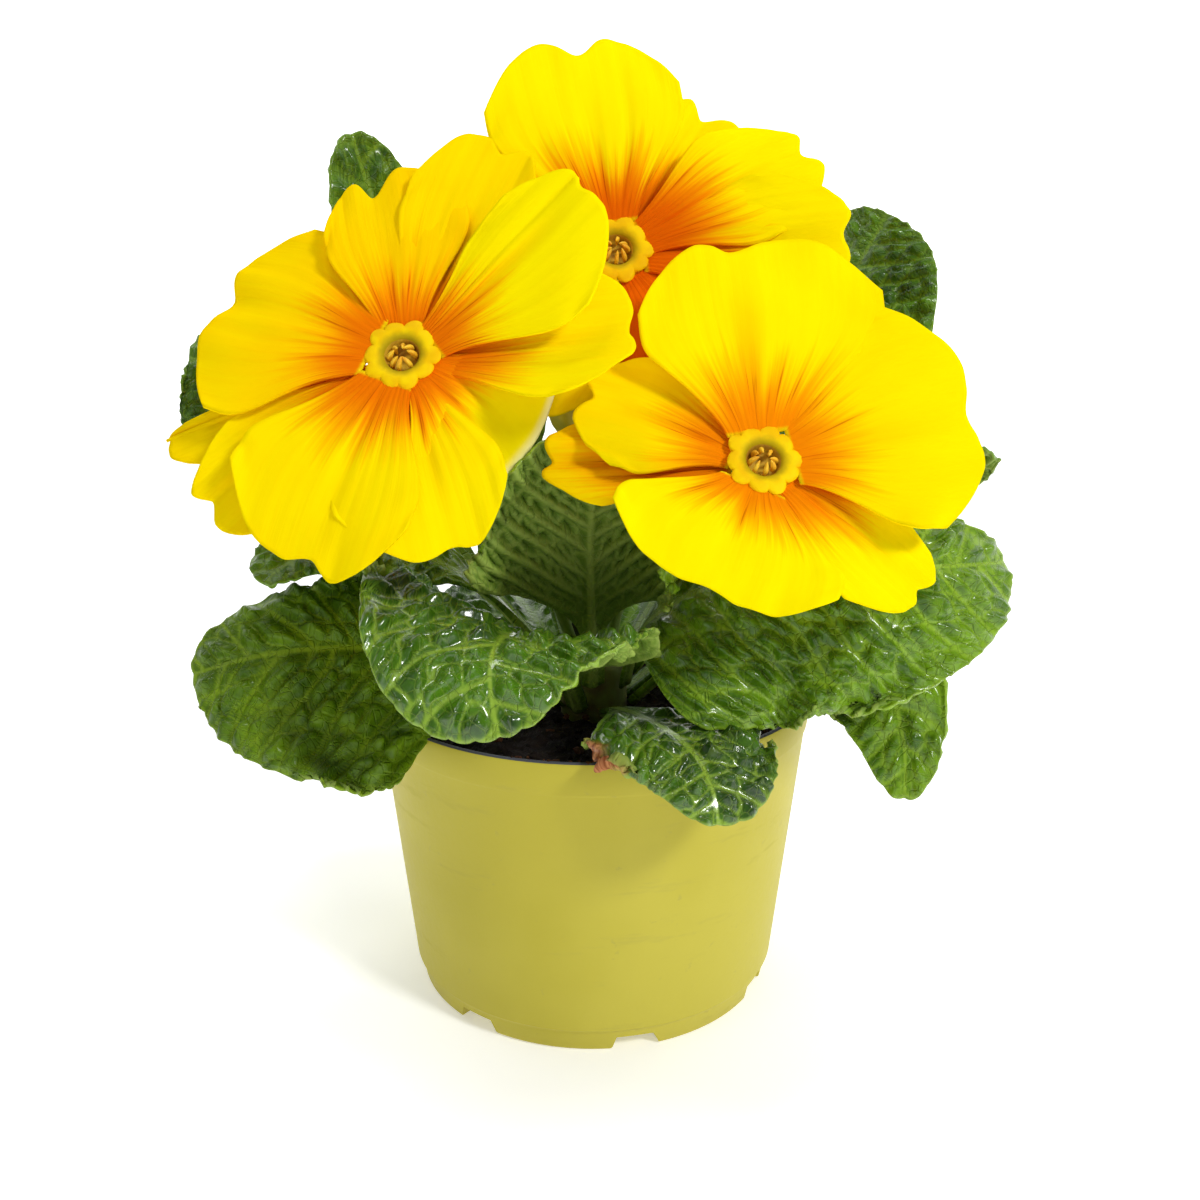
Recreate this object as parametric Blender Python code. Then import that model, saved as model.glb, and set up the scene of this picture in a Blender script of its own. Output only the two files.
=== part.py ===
# A potted primrose: thermoformed pot, potting soil, crown, leaves, and blooms on their stalks.
# Every dimension below is in millimetres. The origin is the middle of the pot's underside, +Z is up,
# and -Y is the side that the plant shows first.

import math
import random
from typing import NamedTuple

import bmesh
import bpy
from mathutils import Matrix, Quaternion, Vector

MILLIMETRE = 0.001
CLEARANCE = 0.3

# Pot
POT_RADIUS = 45.0
POT_HEIGHT = 63.0
WALL = 1.3
FOOT_RADIUS = 37.0
FOOT_STEP = 5.0
FOOT_RING = 2.4
STEP_DEPTH = 1.4
BAND_HEIGHT = 7.0
BAND_STEP = 0.4
LIP = 0.7
HUB_RADIUS = 9.0
HUB_SLOPE = 1.2
BASE_LIFT = 2.2
FLOOR_CORNER = 0.6
POT_SIDES = 42
FOOT_NOTCHES = 7
NOTCH_WIDTH = 10.5
NOTCH_TOP_WIDTH = 7.4
NOTCH_HEIGHT = 3.6
NOTCH_DEPTH = 2.9
FIRST_NOTCH = math.radians(-77.2)
DRAIN_RADIUS = 3.0
DRAIN_CIRCLE = 24.0
DRAIN_SIDES = 8
CUTTER_REACH = 3.0

# Soil and crown
SOIL_TOP = 57.0
SOIL_SIDES = 28
SOIL_LUMPS = 0.8
CROWN_RADIUS = 7.0
CROWN_BOTTOM = 50.0
CROWN_TOP = 68.0
CROWN_SIDES = 14

# Leaves. A share runs from 0 at the crown to 1 at the tip, and a line from -1 to 1 across the blade.
LEAF_THICKNESS = 0.7
LEAF_ROWS = 10
RIB_LINE = 0.09
LEAF_LINES = (-1.0, -0.72, -0.4, -RIB_LINE, 0.0, RIB_LINE, 0.4, 0.72, 1.0)
STEM_SHARE = 0.085
RIB_DEPTH = 1.5
RIB_TAPER = 0.72
RIB_SHOULDER = 0.3
ROUND_END = 0.30
END_NARROWING = 0.10
SCALLOP = 0.035
ROOT_GAP = 0.35

# Blooms
PETAL_THICKNESS = 0.65
PETAL_ROWS = 5
PETAL_LINES = (-1.0, -0.62, -0.28, 0.0, 0.28, 0.62, 1.0)
CLAW_WIDTH = 0.24
PETAL_END = 0.34
NOTCH_SPREAD = 0.2
PETAL_SWAY = 1.1
LAYER_ROOT = 0.6
EYE_RADIUS = 6.6
EYE_DEPTH = 2.9
PETAL_START = 5.0
TUBE_RADIUS = 2.0
TUBE_LENGTH = 15.0
THROAT_RADIUS = 2.9
THROAT_DEPTH = 5.0
TUBE_SIDES = 10
STAMENS = 6
STAMEN_RADIUS = 0.55
STAMEN_LENGTH = 4.0
STALK_RADIUS = 1.2
STALK_STEPS = 7
CALYX_WALL = 1.3
CALYX_TOOTH = 3.2
CALYX_RIM = 4.2
BUD_LENGTH = 9.0
BUD_RADIUS = 2.2

# Each kind of piece: its colour, its roughness, and the angle above which its edges stay sharp.
FINISHES = {
    "pot": ((0.52, 0.48, 0.11), 0.45, 35),
    "soil": ((0.03, 0.02, 0.015), 0.95, 20),
    "crown": ((0.16, 0.25, 0.05), 0.6, 50),
    "leaf": ((0.07, 0.22, 0.03), 0.4, 60),
    "stalk": ((0.24, 0.36, 0.08), 0.5, 50),
    "petal": ((0.95, 0.78, 0.02), 0.5, 60),
}


class Leaf(NamedTuple):
    """One leaf. Left and right are as seen from above by someone who looks from the crown to the tip."""

    azimuth: float
    height: float
    knee: tuple
    shoulder: tuple
    tip: tuple
    left: float
    right: float
    roll: float = 0.0
    left_droop: float = 26.0
    right_droop: float = 26.0
    wave: float = 1.8
    waves: float = 3.0
    narrow: float = 0.16
    full: float = 0.66


class Petal(NamedTuple):
    """One heart-shaped petal: where it points, its size, its layer below the front one, and its pose."""

    angle: float
    length: float
    left: float
    right: float
    notch: float
    layer: float
    lift: float
    bend: float
    fold: float


class Bloom(NamedTuple):
    """One bloom: its eye, the height and the turn of its gaze, its stalk's foot and knee, its petals."""

    eye: tuple
    gaze: tuple
    foot: tuple
    knee: tuple
    petals: tuple = ()


LEAVES = {
    "left_low": Leaf(196, 59.3, (-24, -22, 80), (-54, -29, 82), (-76, -23, 72), 29, 16, -52, -14, 16, 1.4),
    "left_small": Leaf(214, 64.6, (-22, -8, 95), (-50, -9, 102), (-60, -26, 91), 9, 16, -34, 8, 29, 1.6),
    "front_left": Leaf(
        247, 59.6, (-6, -24, 82), (-22, -50, 99), (-15, -58, 73), 24, 28, -10, -22, -24, 2.0, 2.5,
        narrow=0.10, full=0.46),
    "centre": Leaf(268, 64.8, (0, -13, 86), (-3, -23, 108), (4, -27, 118), 30, 25, -3, 125, 40, 1.2),
    "front_low": Leaf(288, 58.9, (3, -28, 68), (21, -52, 75), (21, -59, 58), 20, 15, 0, 30, 18, 1.6, 3.5),
    "right_low": Leaf(350, 59.2, (36, -9, 91), (62, -21, 81), (59, -29, 49), 12, 14, 80, 10, 10, 1.2),
    "right": Leaf(
        322, 64.5, (9, -27, 102), (50, -46, 96), (78, -18, 93), 16, 28, 57, 5, 28, 1.8,
        narrow=0.10, full=0.38),
    "right_mid": Leaf(8, 64.9, (26, 3, 90), (70, 12, 114), (82, 5, 107), 20, 14, -30, 26, 25, 1.2),
    "right_back": Leaf(46, 64.6, (21, 19, 91), (58, 41, 144), (64, 40, 157), 25, 29, 14, 15, 22, 1.4),
    "right_hind": Leaf(34, 59.0, (30, 20, 74), (60, 36, 88), (74, 44, 62), 20, 21),
    "back": Leaf(
        92, 64.7, (2, 24, 86), (6, 50, 112), (10, 74, 98), 22, 21, 0, 24, 24, 1.6, narrow=0.06, full=0.40),
    "back_right": Leaf(
        74, 59.3, (8, 28, 72), (20, 60, 86), (24, 76, 54), 18, 17, 0, 28, 28, 1.8, 2.5,
        narrow=0.10, full=0.50),
    "back_left": Leaf(
        116, 59.1, (-14, 28, 71), (-28, 60, 82), (-32, 76, 50), 20, 18, 0, 28, 28, narrow=0.10, full=0.50),
    "left_back": Leaf(130, 64.6, (-12, 22, 98), (-42, 41, 131), (-51, 35, 173), 19, 18, -22, -24, -35, 1.2),
    "left_mid": Leaf(170, 64.8, (-23, 8, 88), (-74, 12, 130), (-83, 13, 128), 22, 17, -46, 20, 10, 1.2),
    "left_hind": Leaf(154, 59.2, (-28, 16, 73), (-62, 32, 86), (-78, 38, 58), 20, 20),
}

BLOOMS = {
    "left": Bloom(
        eye=(-31.9, -34.0, 132.4), gaze=(34, -4), foot=(-3.4, -2.2), knee=(-12, -6, 100),
        petals=(
            Petal(158, 38.0, 21.5, 17.5, 0.08, 0.0, 5, -17, 0.06),
            Petal(104, 36.0, 9.5, 16.0, 0.16, 0.9, 17, -14, 0.05),
            Petal(250, 40.0, 14.0, 18.0, 0.05, 0.0, 9, -16, 0.05),
            Petal(38, 42.0, 8.5, 16.0, 0.05, 0.0, 20, 1, 0.10),
            Petal(320, 27.0, 17.5, 14.5, 0.04, 0.6, 4, -36, 0.06),
            Petal(68, 44.0, 12.0, 11.0, 0.07, 2.0, 16, -6, 0.05),
            Petal(4, 40.5, 14.0, 11.0, 0.05, 2.2, 14, -2, 0.05),
            Petal(287, 35.0, 12.0, 17.0, 0.06, 2.8, 6, -13, 0.04),
            Petal(217, 43.0, 13.5, 8.0, 0.06, 2.0, 2, -11, 0.05),
            Petal(196, 45.0, 8.6, 3.0, 0.02, 3.4, -1, -9, 0.04),
        )),
    "top": Bloom(
        eye=(4.3, -14.0, 149.4), gaze=(30, 3), foot=(-0.4, 1.6), knee=(-2, 3, 112),
        petals=(
            Petal(101, 39.0, 18.5, 17.5, 0.09, 0.0, 18, -4, 0.06),
            Petal(28, 41.0, 11.0, 13.0, 0.05, 0.0, 16, -14, 0.10),
            Petal(0, 42.0, 12.5, 14.0, 0.05, 0.9, 13, -4, 0.06),
            Petal(59, 36.0, 12.5, 16.0, 0.08, 2.2, 8, -10, 0.04),
            Petal(303, 34.0, 13.0, 13.0, 0.08, 1.6, 4, -12, 0.06),
            Petal(236, 34.0, 13.0, 13.0, 0.08, 0.0, 6, -12, 0.06),
            Petal(164, 35.0, 13.0, 13.0, 0.08, 1.2, 6, -14, 0.06),
        )),
    "right": Bloom(
        eye=(28.7, -40.0, 115.6), gaze=(38, 8), foot=(3.4, -1.8), knee=(6, -4, 102),
        petals=(
            Petal(96, 38.5, 17.5, 26.0, 0.07, 0.0, 20, -1, 0.05),
            Petal(7, 37.0, 23.0, 18.5, 0.06, 0.0, 14, -5, 0.10),
            Petal(317, 35.0, 9.5, 11.0, 0.05, 1.9, 3, -8, 0.05),
            Petal(242, 25.0, 20.0, 20.0, 0.05, 0.4, 14, -28, 0.05),
            Petal(153, 33.0, 11.0, 11.0, 0.07, 2.4, 9, -12, 0.05),
            Petal(172, 37.0, 8.0, 9.0, 0.07, 4.0, 2, -10, 0.05),
        )),
    "back": Bloom(
        eye=(8.0, 24.0, 141.0), gaze=(30, 174), foot=(3.4, 3.2), knee=(10, 8, 104),
        petals=(
            Petal(90, 31.0, 16.0, 16.0, 0.09, 0.0, 10, -18, 0.08),
            Petal(162, 31.0, 16.0, 16.0, 0.09, 1.0, 8, -20, 0.08),
            Petal(234, 31.0, 16.0, 16.0, 0.09, 0.0, 10, -24, 0.08),
            Petal(306, 29.0, 15.0, 15.0, 0.09, 1.0, 8, -24, 0.08),
            Petal(18, 28.0, 15.0, 15.0, 0.09, 1.9, 6, -20, 0.08),
        )),
}

BUD = Bloom(eye=(-5.0, -12.0, 120.0), gaze=(64, -20), foot=(0.2, -4.6), knee=(-2, -7, 94))


def clear_scene():
    for item in list(bpy.data.objects):
        bpy.data.objects.remove(item, do_unlink=True)


def finish(kind):
    """The plain material of one kind of piece, made once and shared."""
    if kind in bpy.data.materials:
        return bpy.data.materials[kind]
    colour, roughness, _ = FINISHES[kind]
    made = bpy.data.materials.new(kind)
    made.use_nodes = True
    shader = made.node_tree.nodes["Principled BSDF"]
    shader.inputs["Base Color"].default_value = (*colour, 1.0)
    shader.inputs["Roughness"].default_value = roughness
    return made


def add_object(name, shape, kind, frame=None):
    """One named object from a bmesh in millimetres, set in its place by frame."""
    mesh = bpy.data.meshes.new(name)
    bmesh.ops.scale(shape, vec=Vector((MILLIMETRE,) * 3), verts=shape.verts)
    shape.to_mesh(mesh)
    shape.free()
    return place_mesh(name, mesh, kind, frame)


def place_mesh(name, mesh, kind, frame=None):
    mesh.materials.append(finish(kind))
    mesh.shade_smooth()
    mesh.set_sharp_from_angle(angle=math.radians(FINISHES[kind][2]))
    made = bpy.data.objects.new(name, mesh)
    made.parent = bpy.data.objects["primrose"]
    if frame is not None:
        made.matrix_basis = frame
    bpy.context.scene.collection.objects.link(made)
    return made


def combine(target, others, operation):
    """Joins or cuts target with every object in others, which stay on as hidden helpers."""
    helpers = bpy.data.collections.new(f"{target.name}_helpers")
    bpy.context.scene.collection.children.link(helpers)
    for item in others:
        bpy.context.scene.collection.objects.unlink(item)
        helpers.objects.link(item)
        item.hide_render = True
        item.display_type = "WIRE"
    modifier = target.modifiers.new(operation.lower(), "BOOLEAN")
    modifier.operation = operation
    modifier.operand_type = "COLLECTION"
    modifier.collection = helpers
    modifier.solver = "EXACT"


def solidify(item, thickness, offset):
    modifier = item.modifiers.new("thickness", "SOLIDIFY")
    modifier.thickness = thickness * MILLIMETRE
    modifier.offset = offset
    return modifier


def turned(profile, sides):
    """A closed solid spun about Z from the (radius, height) points of its section."""
    shape = bmesh.new()
    points = [shape.verts.new((radius, 0.0, height)) for radius, height in profile]
    edges = [shape.edges.new(pair) for pair in zip(points, points[1:])]
    bmesh.ops.spin(shape, geom=points + edges, axis=(0, 0, 1), cent=(0, 0, 0), angle=math.tau, steps=sides)
    bmesh.ops.remove_doubles(shape, verts=shape.verts, dist=0.001)
    bmesh.ops.recalc_face_normals(shape, faces=shape.faces)
    return shape


def blade(lines, rows, point_at):
    """A sheet of triangles whose points are set by point_at(share, line)."""
    shape = bmesh.new()
    bmesh.ops.create_grid(shape, x_segments=len(lines) - 1, y_segments=rows, size=0.5)
    for vert in shape.verts:
        column = round((vert.co.x + 0.5) * (len(lines) - 1))
        row = round((vert.co.y + 0.5) * rows)
        vert.co = point_at(row / rows, lines[column])
    bmesh.ops.triangulate(shape, faces=shape.faces, quad_method="FIXED")
    return shape


def smooth_step(low, high, value):
    share = min(1.0, max(0.0, (value - low) / (high - low)))
    return share * share * (3.0 - 2.0 * share)


def bezier(ends, share):
    """A point and the direction of travel on a curve with four control points."""
    a, b, c, d = ends
    rest = 1.0 - share
    point = a * rest**3 + b * (3 * rest**2 * share) + c * (3 * rest * share**2) + d * share**3
    travel = (b - a) * (3 * rest**2) + (c - b) * (6 * rest * share) + (d - c) * (3 * share**2)
    return point, travel.normalized()


def on_circle(radius, angle, height=0.0):
    return Vector((radius * math.cos(angle), radius * math.sin(angle), height))


def wall_radius(height):
    """The pot's outer radius above its foot step."""
    share = (height - FOOT_STEP) / (POT_HEIGHT - FOOT_STEP)
    return FOOT_RADIUS + STEP_DEPTH + (POT_RADIUS - BAND_STEP - FOOT_RADIUS - STEP_DEPTH) * share


def build_pot():
    """The pot is one turned section: hub, foot ring, step, wall, collar band, lip and lining."""
    band = POT_HEIGHT - BAND_HEIGHT
    floor_top = BASE_LIFT + WALL
    ring = FOOT_RADIUS - FOOT_RING
    profile = [
        (0.0, 0.0), (HUB_RADIUS, 0.0), (HUB_RADIUS + HUB_SLOPE, BASE_LIFT), (ring - 1.0, BASE_LIFT),
        (ring, 0.0), (FOOT_RADIUS, 0.0), (FOOT_RADIUS + BAND_STEP, FOOT_STEP - HUB_SLOPE),
        (wall_radius(FOOT_STEP), FOOT_STEP), (wall_radius(band), band),
        (wall_radius(band) + BAND_STEP, band + BAND_STEP), (POT_RADIUS, POT_HEIGHT - LIP),
        (POT_RADIUS - 0.4, POT_HEIGHT), (POT_RADIUS - 1.0, POT_HEIGHT),
        (POT_RADIUS - WALL - 0.2, POT_HEIGHT - LIP), (wall_radius(band) - WALL, band),
        (wall_radius(FOOT_STEP) - WALL, FOOT_STEP + FLOOR_CORNER), (FOOT_RADIUS - 1.0, floor_top),
        (0.0, floor_top),
    ]
    pot = add_object("pot", turned(profile, POT_SIDES), "pot")
    cutters = []
    for index in range(FOOT_NOTCHES):
        angle = FIRST_NOTCH + math.tau * index / FOOT_NOTCHES
        cutters.append(notch_cutter(f"notch_{index}", angle))
        cutters.append(drain_cutter(f"drain_{index}", angle + math.pi / FOOT_NOTCHES))
    combine(pot, cutters, "DIFFERENCE")


def notch_cutter(name, angle):
    """A wedge across the foot ring, narrower at the top and lower on the inside."""
    shape = bmesh.new()
    bmesh.ops.create_cube(shape, size=1.0)
    for vert in shape.verts:
        outer, upper = vert.co.x > 0, vert.co.z > 0
        half = (NOTCH_TOP_WIDTH if upper else NOTCH_WIDTH) / 2.0
        top = NOTCH_HEIGHT if outer else BASE_LIFT - 0.4
        radius = FOOT_RADIUS + CUTTER_REACH if outer else FOOT_RADIUS - NOTCH_DEPTH
        vert.co = Vector((radius, math.copysign(half, vert.co.y), top if upper else -1.0))
    return add_object(name, shape, "pot", Matrix.Rotation(angle, 4, "Z"))


def drain_cutter(name, angle):
    """A round hole through the raised part of the floor."""
    shape = bmesh.new()
    bmesh.ops.create_cone(
        shape, cap_ends=True, segments=DRAIN_SIDES, radius1=DRAIN_RADIUS, radius2=DRAIN_RADIUS,
        depth=2.0 * CUTTER_REACH)
    centre = on_circle(DRAIN_CIRCLE, angle, BASE_LIFT) * MILLIMETRE
    return add_object(name, shape, "pot", Matrix.Translation(centre))


def build_soil():
    """The soil fills the pot up to a lumpy top, with a plain well for the crown."""
    band = POT_HEIGHT - BAND_HEIGHT
    edge = wall_radius(band) - WALL - CLEARANCE - 0.25
    well = CROWN_RADIUS + CLEARANCE
    low = BASE_LIFT + WALL + CLEARANCE
    rings = (33.0, 22.0, 13.0)
    profile = [
        (0.0, low), (FOOT_RADIUS - 1.0 - 2 * CLEARANCE, low),
        (wall_radius(FOOT_STEP) - WALL - 2 * CLEARANCE, FOOT_STEP + FLOOR_CORNER + CLEARANCE),
        (edge, SOIL_TOP - 1.6), (edge - 1.6, SOIL_TOP - 0.4),
        *((radius, SOIL_TOP) for radius in rings),
        (well, SOIL_TOP), (well, CROWN_BOTTOM - CLEARANCE), (0.0, CROWN_BOTTOM - CLEARANCE),
    ]
    shape = turned(profile, SOIL_SIDES)
    draw = random.Random(7)
    for vert in shape.verts:
        radius = math.hypot(vert.co.x, vert.co.y)
        if vert.co.z > SOIL_TOP - 1.0 and radius > well + 1.0:
            vert.co.z += draw.uniform(-SOIL_LUMPS, SOIL_LUMPS)
    add_object("soil", shape, "soil")


def build_crown():
    """The short rootstock that leaves and flower stalks grow from."""
    profile = [
        (0.0, CROWN_BOTTOM), (CROWN_RADIUS - 1.5, CROWN_BOTTOM), (CROWN_RADIUS, CROWN_BOTTOM + 2.0),
        (CROWN_RADIUS, CROWN_TOP - 1.2), (CROWN_RADIUS - 1.0, CROWN_TOP), (0.0, CROWN_TOP),
    ]
    add_object("crown", turned(profile, CROWN_SIDES), "crown")


def leaf_point(leaf, root, share, line):
    """A point of the leaf's upper face."""
    ends = (root, Vector(leaf.knee), Vector(leaf.shoulder), Vector(leaf.tip))
    size, on_right = abs(line), line > 0
    rounding = 1.0 - ROUND_END * size**2.4
    along = share * (1.0 - (1.0 - rounding) * smooth_step(0.1, 0.9, share))
    point, travel = bezier(ends, along)

    # The blade's own directions: across it and up from it, rolled about its length.
    level = (ends[3] - root).cross(Vector((0, 0, 1)))
    across = (level - travel * level.dot(travel)).normalized()
    across.rotate(Quaternion(travel, math.radians(leaf.roll) * smooth_step(0.05, 0.55, share)))
    normal = across.cross(travel)

    # Its half-width, from the narrow stem to the full blade, with scallops along the edge.
    half = leaf.right if on_right else leaf.left
    half *= STEM_SHARE + (1.0 - STEM_SHARE) * smooth_step(leaf.narrow, leaf.full, share)
    half *= 1.0 - END_NARROWING * smooth_step(0.7, 1.0, share)
    if size == 1.0 and 0.25 < share < 1.0:
        half *= 1.0 + SCALLOP * (1 if round(share * LEAF_ROWS) % 2 else -1)

    # Each half bends down along an arc, and waves towards the edge.
    droop = math.radians(leaf.right_droop if on_right else leaf.left_droop)
    bend = droop * smooth_step(0.2, 0.6, share) or 1e-6
    lateral = half / bend * math.sin(bend * size)
    drop = half / bend * (1.0 - math.cos(bend * size))
    wave = math.sin(math.tau * leaf.waves * share + 1.3 * on_right + math.radians(leaf.azimuth))
    lift = leaf.wave * wave * size**1.6 * smooth_step(0.3, 0.7, share)
    return point + across * math.copysign(lateral, line) + normal * (lift - drop + LEAF_THICKNESS / 2)


def build_leaf(name, leaf):
    """A blade with a thicker midrib below, rooted just off the crown."""
    root = on_circle(CROWN_RADIUS + CLEARANCE + ROOT_GAP, math.radians(leaf.azimuth), leaf.height)
    shape = blade(LEAF_LINES, LEAF_ROWS, lambda share, line: leaf_point(leaf, root, share, line) - root)
    weights = shape.verts.layers.deform.verify()
    columns = len(LEAF_LINES)
    for number, vert in enumerate(shape.verts):
        share, line = number // columns / LEAF_ROWS, LEAF_LINES[number % columns]
        if line == 0.0:
            vert[weights][0] = 1.0 - RIB_TAPER * share
        elif abs(line) == RIB_LINE and share < 0.3:
            vert[weights][0] = RIB_SHOULDER / RIB_DEPTH
    made = add_object(name, shape, "leaf", Matrix.Translation(root * MILLIMETRE))
    made.vertex_groups.new(name="rib")
    thickness = solidify(made, LEAF_THICKNESS + RIB_DEPTH, -1.0)
    thickness.vertex_group = "rib"
    thickness.thickness_vertex_group = LEAF_THICKNESS / (LEAF_THICKNESS + RIB_DEPTH)


def gaze_frame(bloom):
    """Places a bloom: its own Z is its gaze, given by its height and its turn from -Y towards +X."""
    height, turn = (math.radians(value) for value in bloom.gaze)
    right = on_circle(1.0, turn)
    forward = on_circle(math.cos(height), turn - math.pi / 2.0, math.sin(height))
    up = forward.cross(right)
    frame = Matrix((right, up, forward)).transposed().to_4x4()
    frame.translation = Vector(bloom.eye) * MILLIMETRE
    return frame


def petal_point(petal, share, line):
    """A point of a petal's middle surface, in its bloom's own frame."""
    heading = math.radians(petal.angle)
    size = abs(line)
    half = petal.left if line > 0 else petal.right
    claw = CLAW_WIDTH + (1.0 - CLAW_WIDTH) * math.sin(0.5 * math.pi * smooth_step(-0.12, 0.92, share))
    rounding = 1.0 - PETAL_END * size**2.8 - petal.notch * math.exp(-((line / NOTCH_SPREAD) ** 2))
    run = share * (1.0 - (1.0 - rounding) * smooth_step(0.0, 1.0, share))
    rise = math.radians(petal.lift + petal.bend * run)
    reach = (petal.length - PETAL_START) * run
    depth = petal.layer * (LAYER_ROOT + (1.0 - LAYER_ROOT) * run)
    sway = math.sin(2.2 * line + petal.angle) * PETAL_SWAY * share**2
    height = reach * math.sin(rise) - depth + petal.fold * half * size * share + sway
    ahead = on_circle(PETAL_START + reach * math.cos(rise), heading, height)
    return ahead + on_circle(half * claw * line, heading + math.pi / 2.0)


def build_petal(name, petal, frame):
    shape = blade(PETAL_LINES, PETAL_ROWS, lambda share, line: petal_point(petal, share, line))
    made = add_object(name, shape, "petal", frame)
    solidify(made, PETAL_THICKNESS, 0.0)
    return made


def corolla_tube():
    """The petals' joint tube, open at the throat, with the flange that the petals grow out of."""
    profile = [
        (0.0, -TUBE_LENGTH), (TUBE_RADIUS, -TUBE_LENGTH), (TUBE_RADIUS + 0.2, -5.5),
        (THROAT_RADIUS + 1.4, -3.2), (EYE_RADIUS, -EYE_DEPTH), (EYE_RADIUS, 0.2), (THROAT_RADIUS, -0.9),
        (THROAT_RADIUS - 0.5, -THROAT_DEPTH), (0.0, -THROAT_DEPTH),
    ]
    return turned(profile, TUBE_SIDES)


def stamens():
    """Anthers that are sunk into the throat's wall and lean inwards."""
    shape = bmesh.new()
    for index in range(STAMENS):
        angle = math.tau * (index + 0.5) / STAMENS
        lean = Matrix.Rotation(-0.25, 4, on_circle(1.0, angle + math.pi / 2.0))
        foot = Matrix.Translation(on_circle(THROAT_RADIUS - 0.75, angle, -STAMEN_LENGTH / 2.0))
        bmesh.ops.create_cone(
            shape, cap_ends=True, segments=4, radius1=STAMEN_RADIUS, radius2=0.3 * STAMEN_RADIUS,
            depth=STAMEN_LENGTH, matrix=foot @ lean)
    return shape


def build_bloom(name, bloom):
    """All petals of one bloom, its tube and its stamens, fused into one solid."""
    frame = gaze_frame(bloom)
    corolla = add_object(f"bloom_{name}", corolla_tube(), "petal", frame)
    grown = [build_petal(f"petal_{name}_{number}", petal, frame) for number, petal in enumerate(bloom.petals)]
    grown.append(add_object(f"stamens_{name}", stamens(), "petal", frame))
    combine(corolla, grown, "UNION")
    build_stalk(name, bloom, TUBE_LENGTH, TUBE_RADIUS)


def calyx(length, radius):
    """The green cup round a bloom's tube, with its rim cut down between the teeth."""
    inner = radius + CLEARANCE
    rim = -CALYX_RIM - 0.1 * length
    profile = [
        (0.0, -length - 2.2), (STALK_RADIUS + 0.5, -length - 1.6), (inner + CALYX_WALL, -length + 2.0),
        (inner + CALYX_WALL - 0.3, rim), (inner + 0.45, rim), (inner, -length - CLEARANCE),
        (0.0, -length - CLEARANCE),
    ]
    shape = turned(profile, TUBE_SIDES)
    for vert in shape.verts:
        side = round(math.atan2(vert.co.y, vert.co.x) * TUBE_SIDES / math.tau)
        if vert.co.z > rim - 0.01 and side % 2:
            vert.co.z -= CALYX_TOOTH
    return shape


def stem(name, bloom, frame, length):
    """The stalk's round stem, a curve from the crown's top up into the calyx."""
    curve = bpy.data.curves.new(name, "CURVE")
    curve.dimensions = "3D"
    curve.resolution_u = STALK_STEPS
    curve.bevel_depth = STALK_RADIUS * MILLIMETRE
    curve.bevel_resolution = 1
    curve.use_fill_caps = True
    spline = curve.splines.new("BEZIER")
    spline.bezier_points.add(1)
    foot, head = spline.bezier_points
    foot.handle_left_type = foot.handle_right_type = "FREE"
    head.handle_left_type = head.handle_right_type = "FREE"
    foot.co = Vector((*bloom.foot, CROWN_TOP + 2.5 * CLEARANCE)) * MILLIMETRE
    foot.handle_left = foot.co
    foot.handle_right = Vector(bloom.knee) * MILLIMETRE
    head.co = frame @ (Vector((0.0, 0.0, -length - 1.4)) * MILLIMETRE)
    head.handle_left = frame @ (Vector((0.0, 0.0, -length - 10.0)) * MILLIMETRE)
    head.handle_right = head.co
    guide = bpy.data.objects.new(name, curve)
    mesh = bpy.data.meshes.new_from_object(guide)
    bpy.data.objects.remove(guide)
    mesh.materials.clear()
    return place_mesh(name, mesh, "stalk")


def build_stalk(name, bloom, length, radius):
    frame = gaze_frame(bloom)
    stalk = add_object(f"stalk_{name}", calyx(length, radius), "stalk", frame)
    combine(stalk, [stem(f"stem_{name}", bloom, frame, length)], "UNION")


def build_bud():
    """A bloom that hasn't opened: its furled petals stand in their calyx."""
    profile = [
        (0.0, -BUD_LENGTH), (BUD_RADIUS - 0.2, -BUD_LENGTH), (BUD_RADIUS, -4.0), (BUD_RADIUS + 1.0, 0.0),
        (BUD_RADIUS + 0.2, 3.4), (0.0, 5.0),
    ]
    add_object("bloom_bud", turned(profile, TUBE_SIDES), "petal", gaze_frame(BUD))
    build_stalk("bud", BUD, BUD_LENGTH, BUD_RADIUS)


def main():
    clear_scene()
    bpy.context.scene.collection.objects.link(bpy.data.objects.new("primrose", None))
    build_pot()
    build_soil()
    build_crown()
    for name, leaf in LEAVES.items():
        build_leaf(f"leaf_{name}", leaf)
    for name, bloom in BLOOMS.items():
        build_bloom(name, bloom)
    build_bud()


main()
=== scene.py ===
"""Looks for a potted primrose: quilted leaves, yellow blooms with orange hearts, soil and a nursery pot.

Lengths are in millimetres until a mesh is made. The pot stands upright on the middle of the frame, and
-Y is the side that faces the camera. Leaves and blooms follow the same curves as the solids that they
stand for.
"""

import math
import random
from typing import NamedTuple

import bpy
import numpy as np
from mathutils import Matrix, Vector


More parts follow.
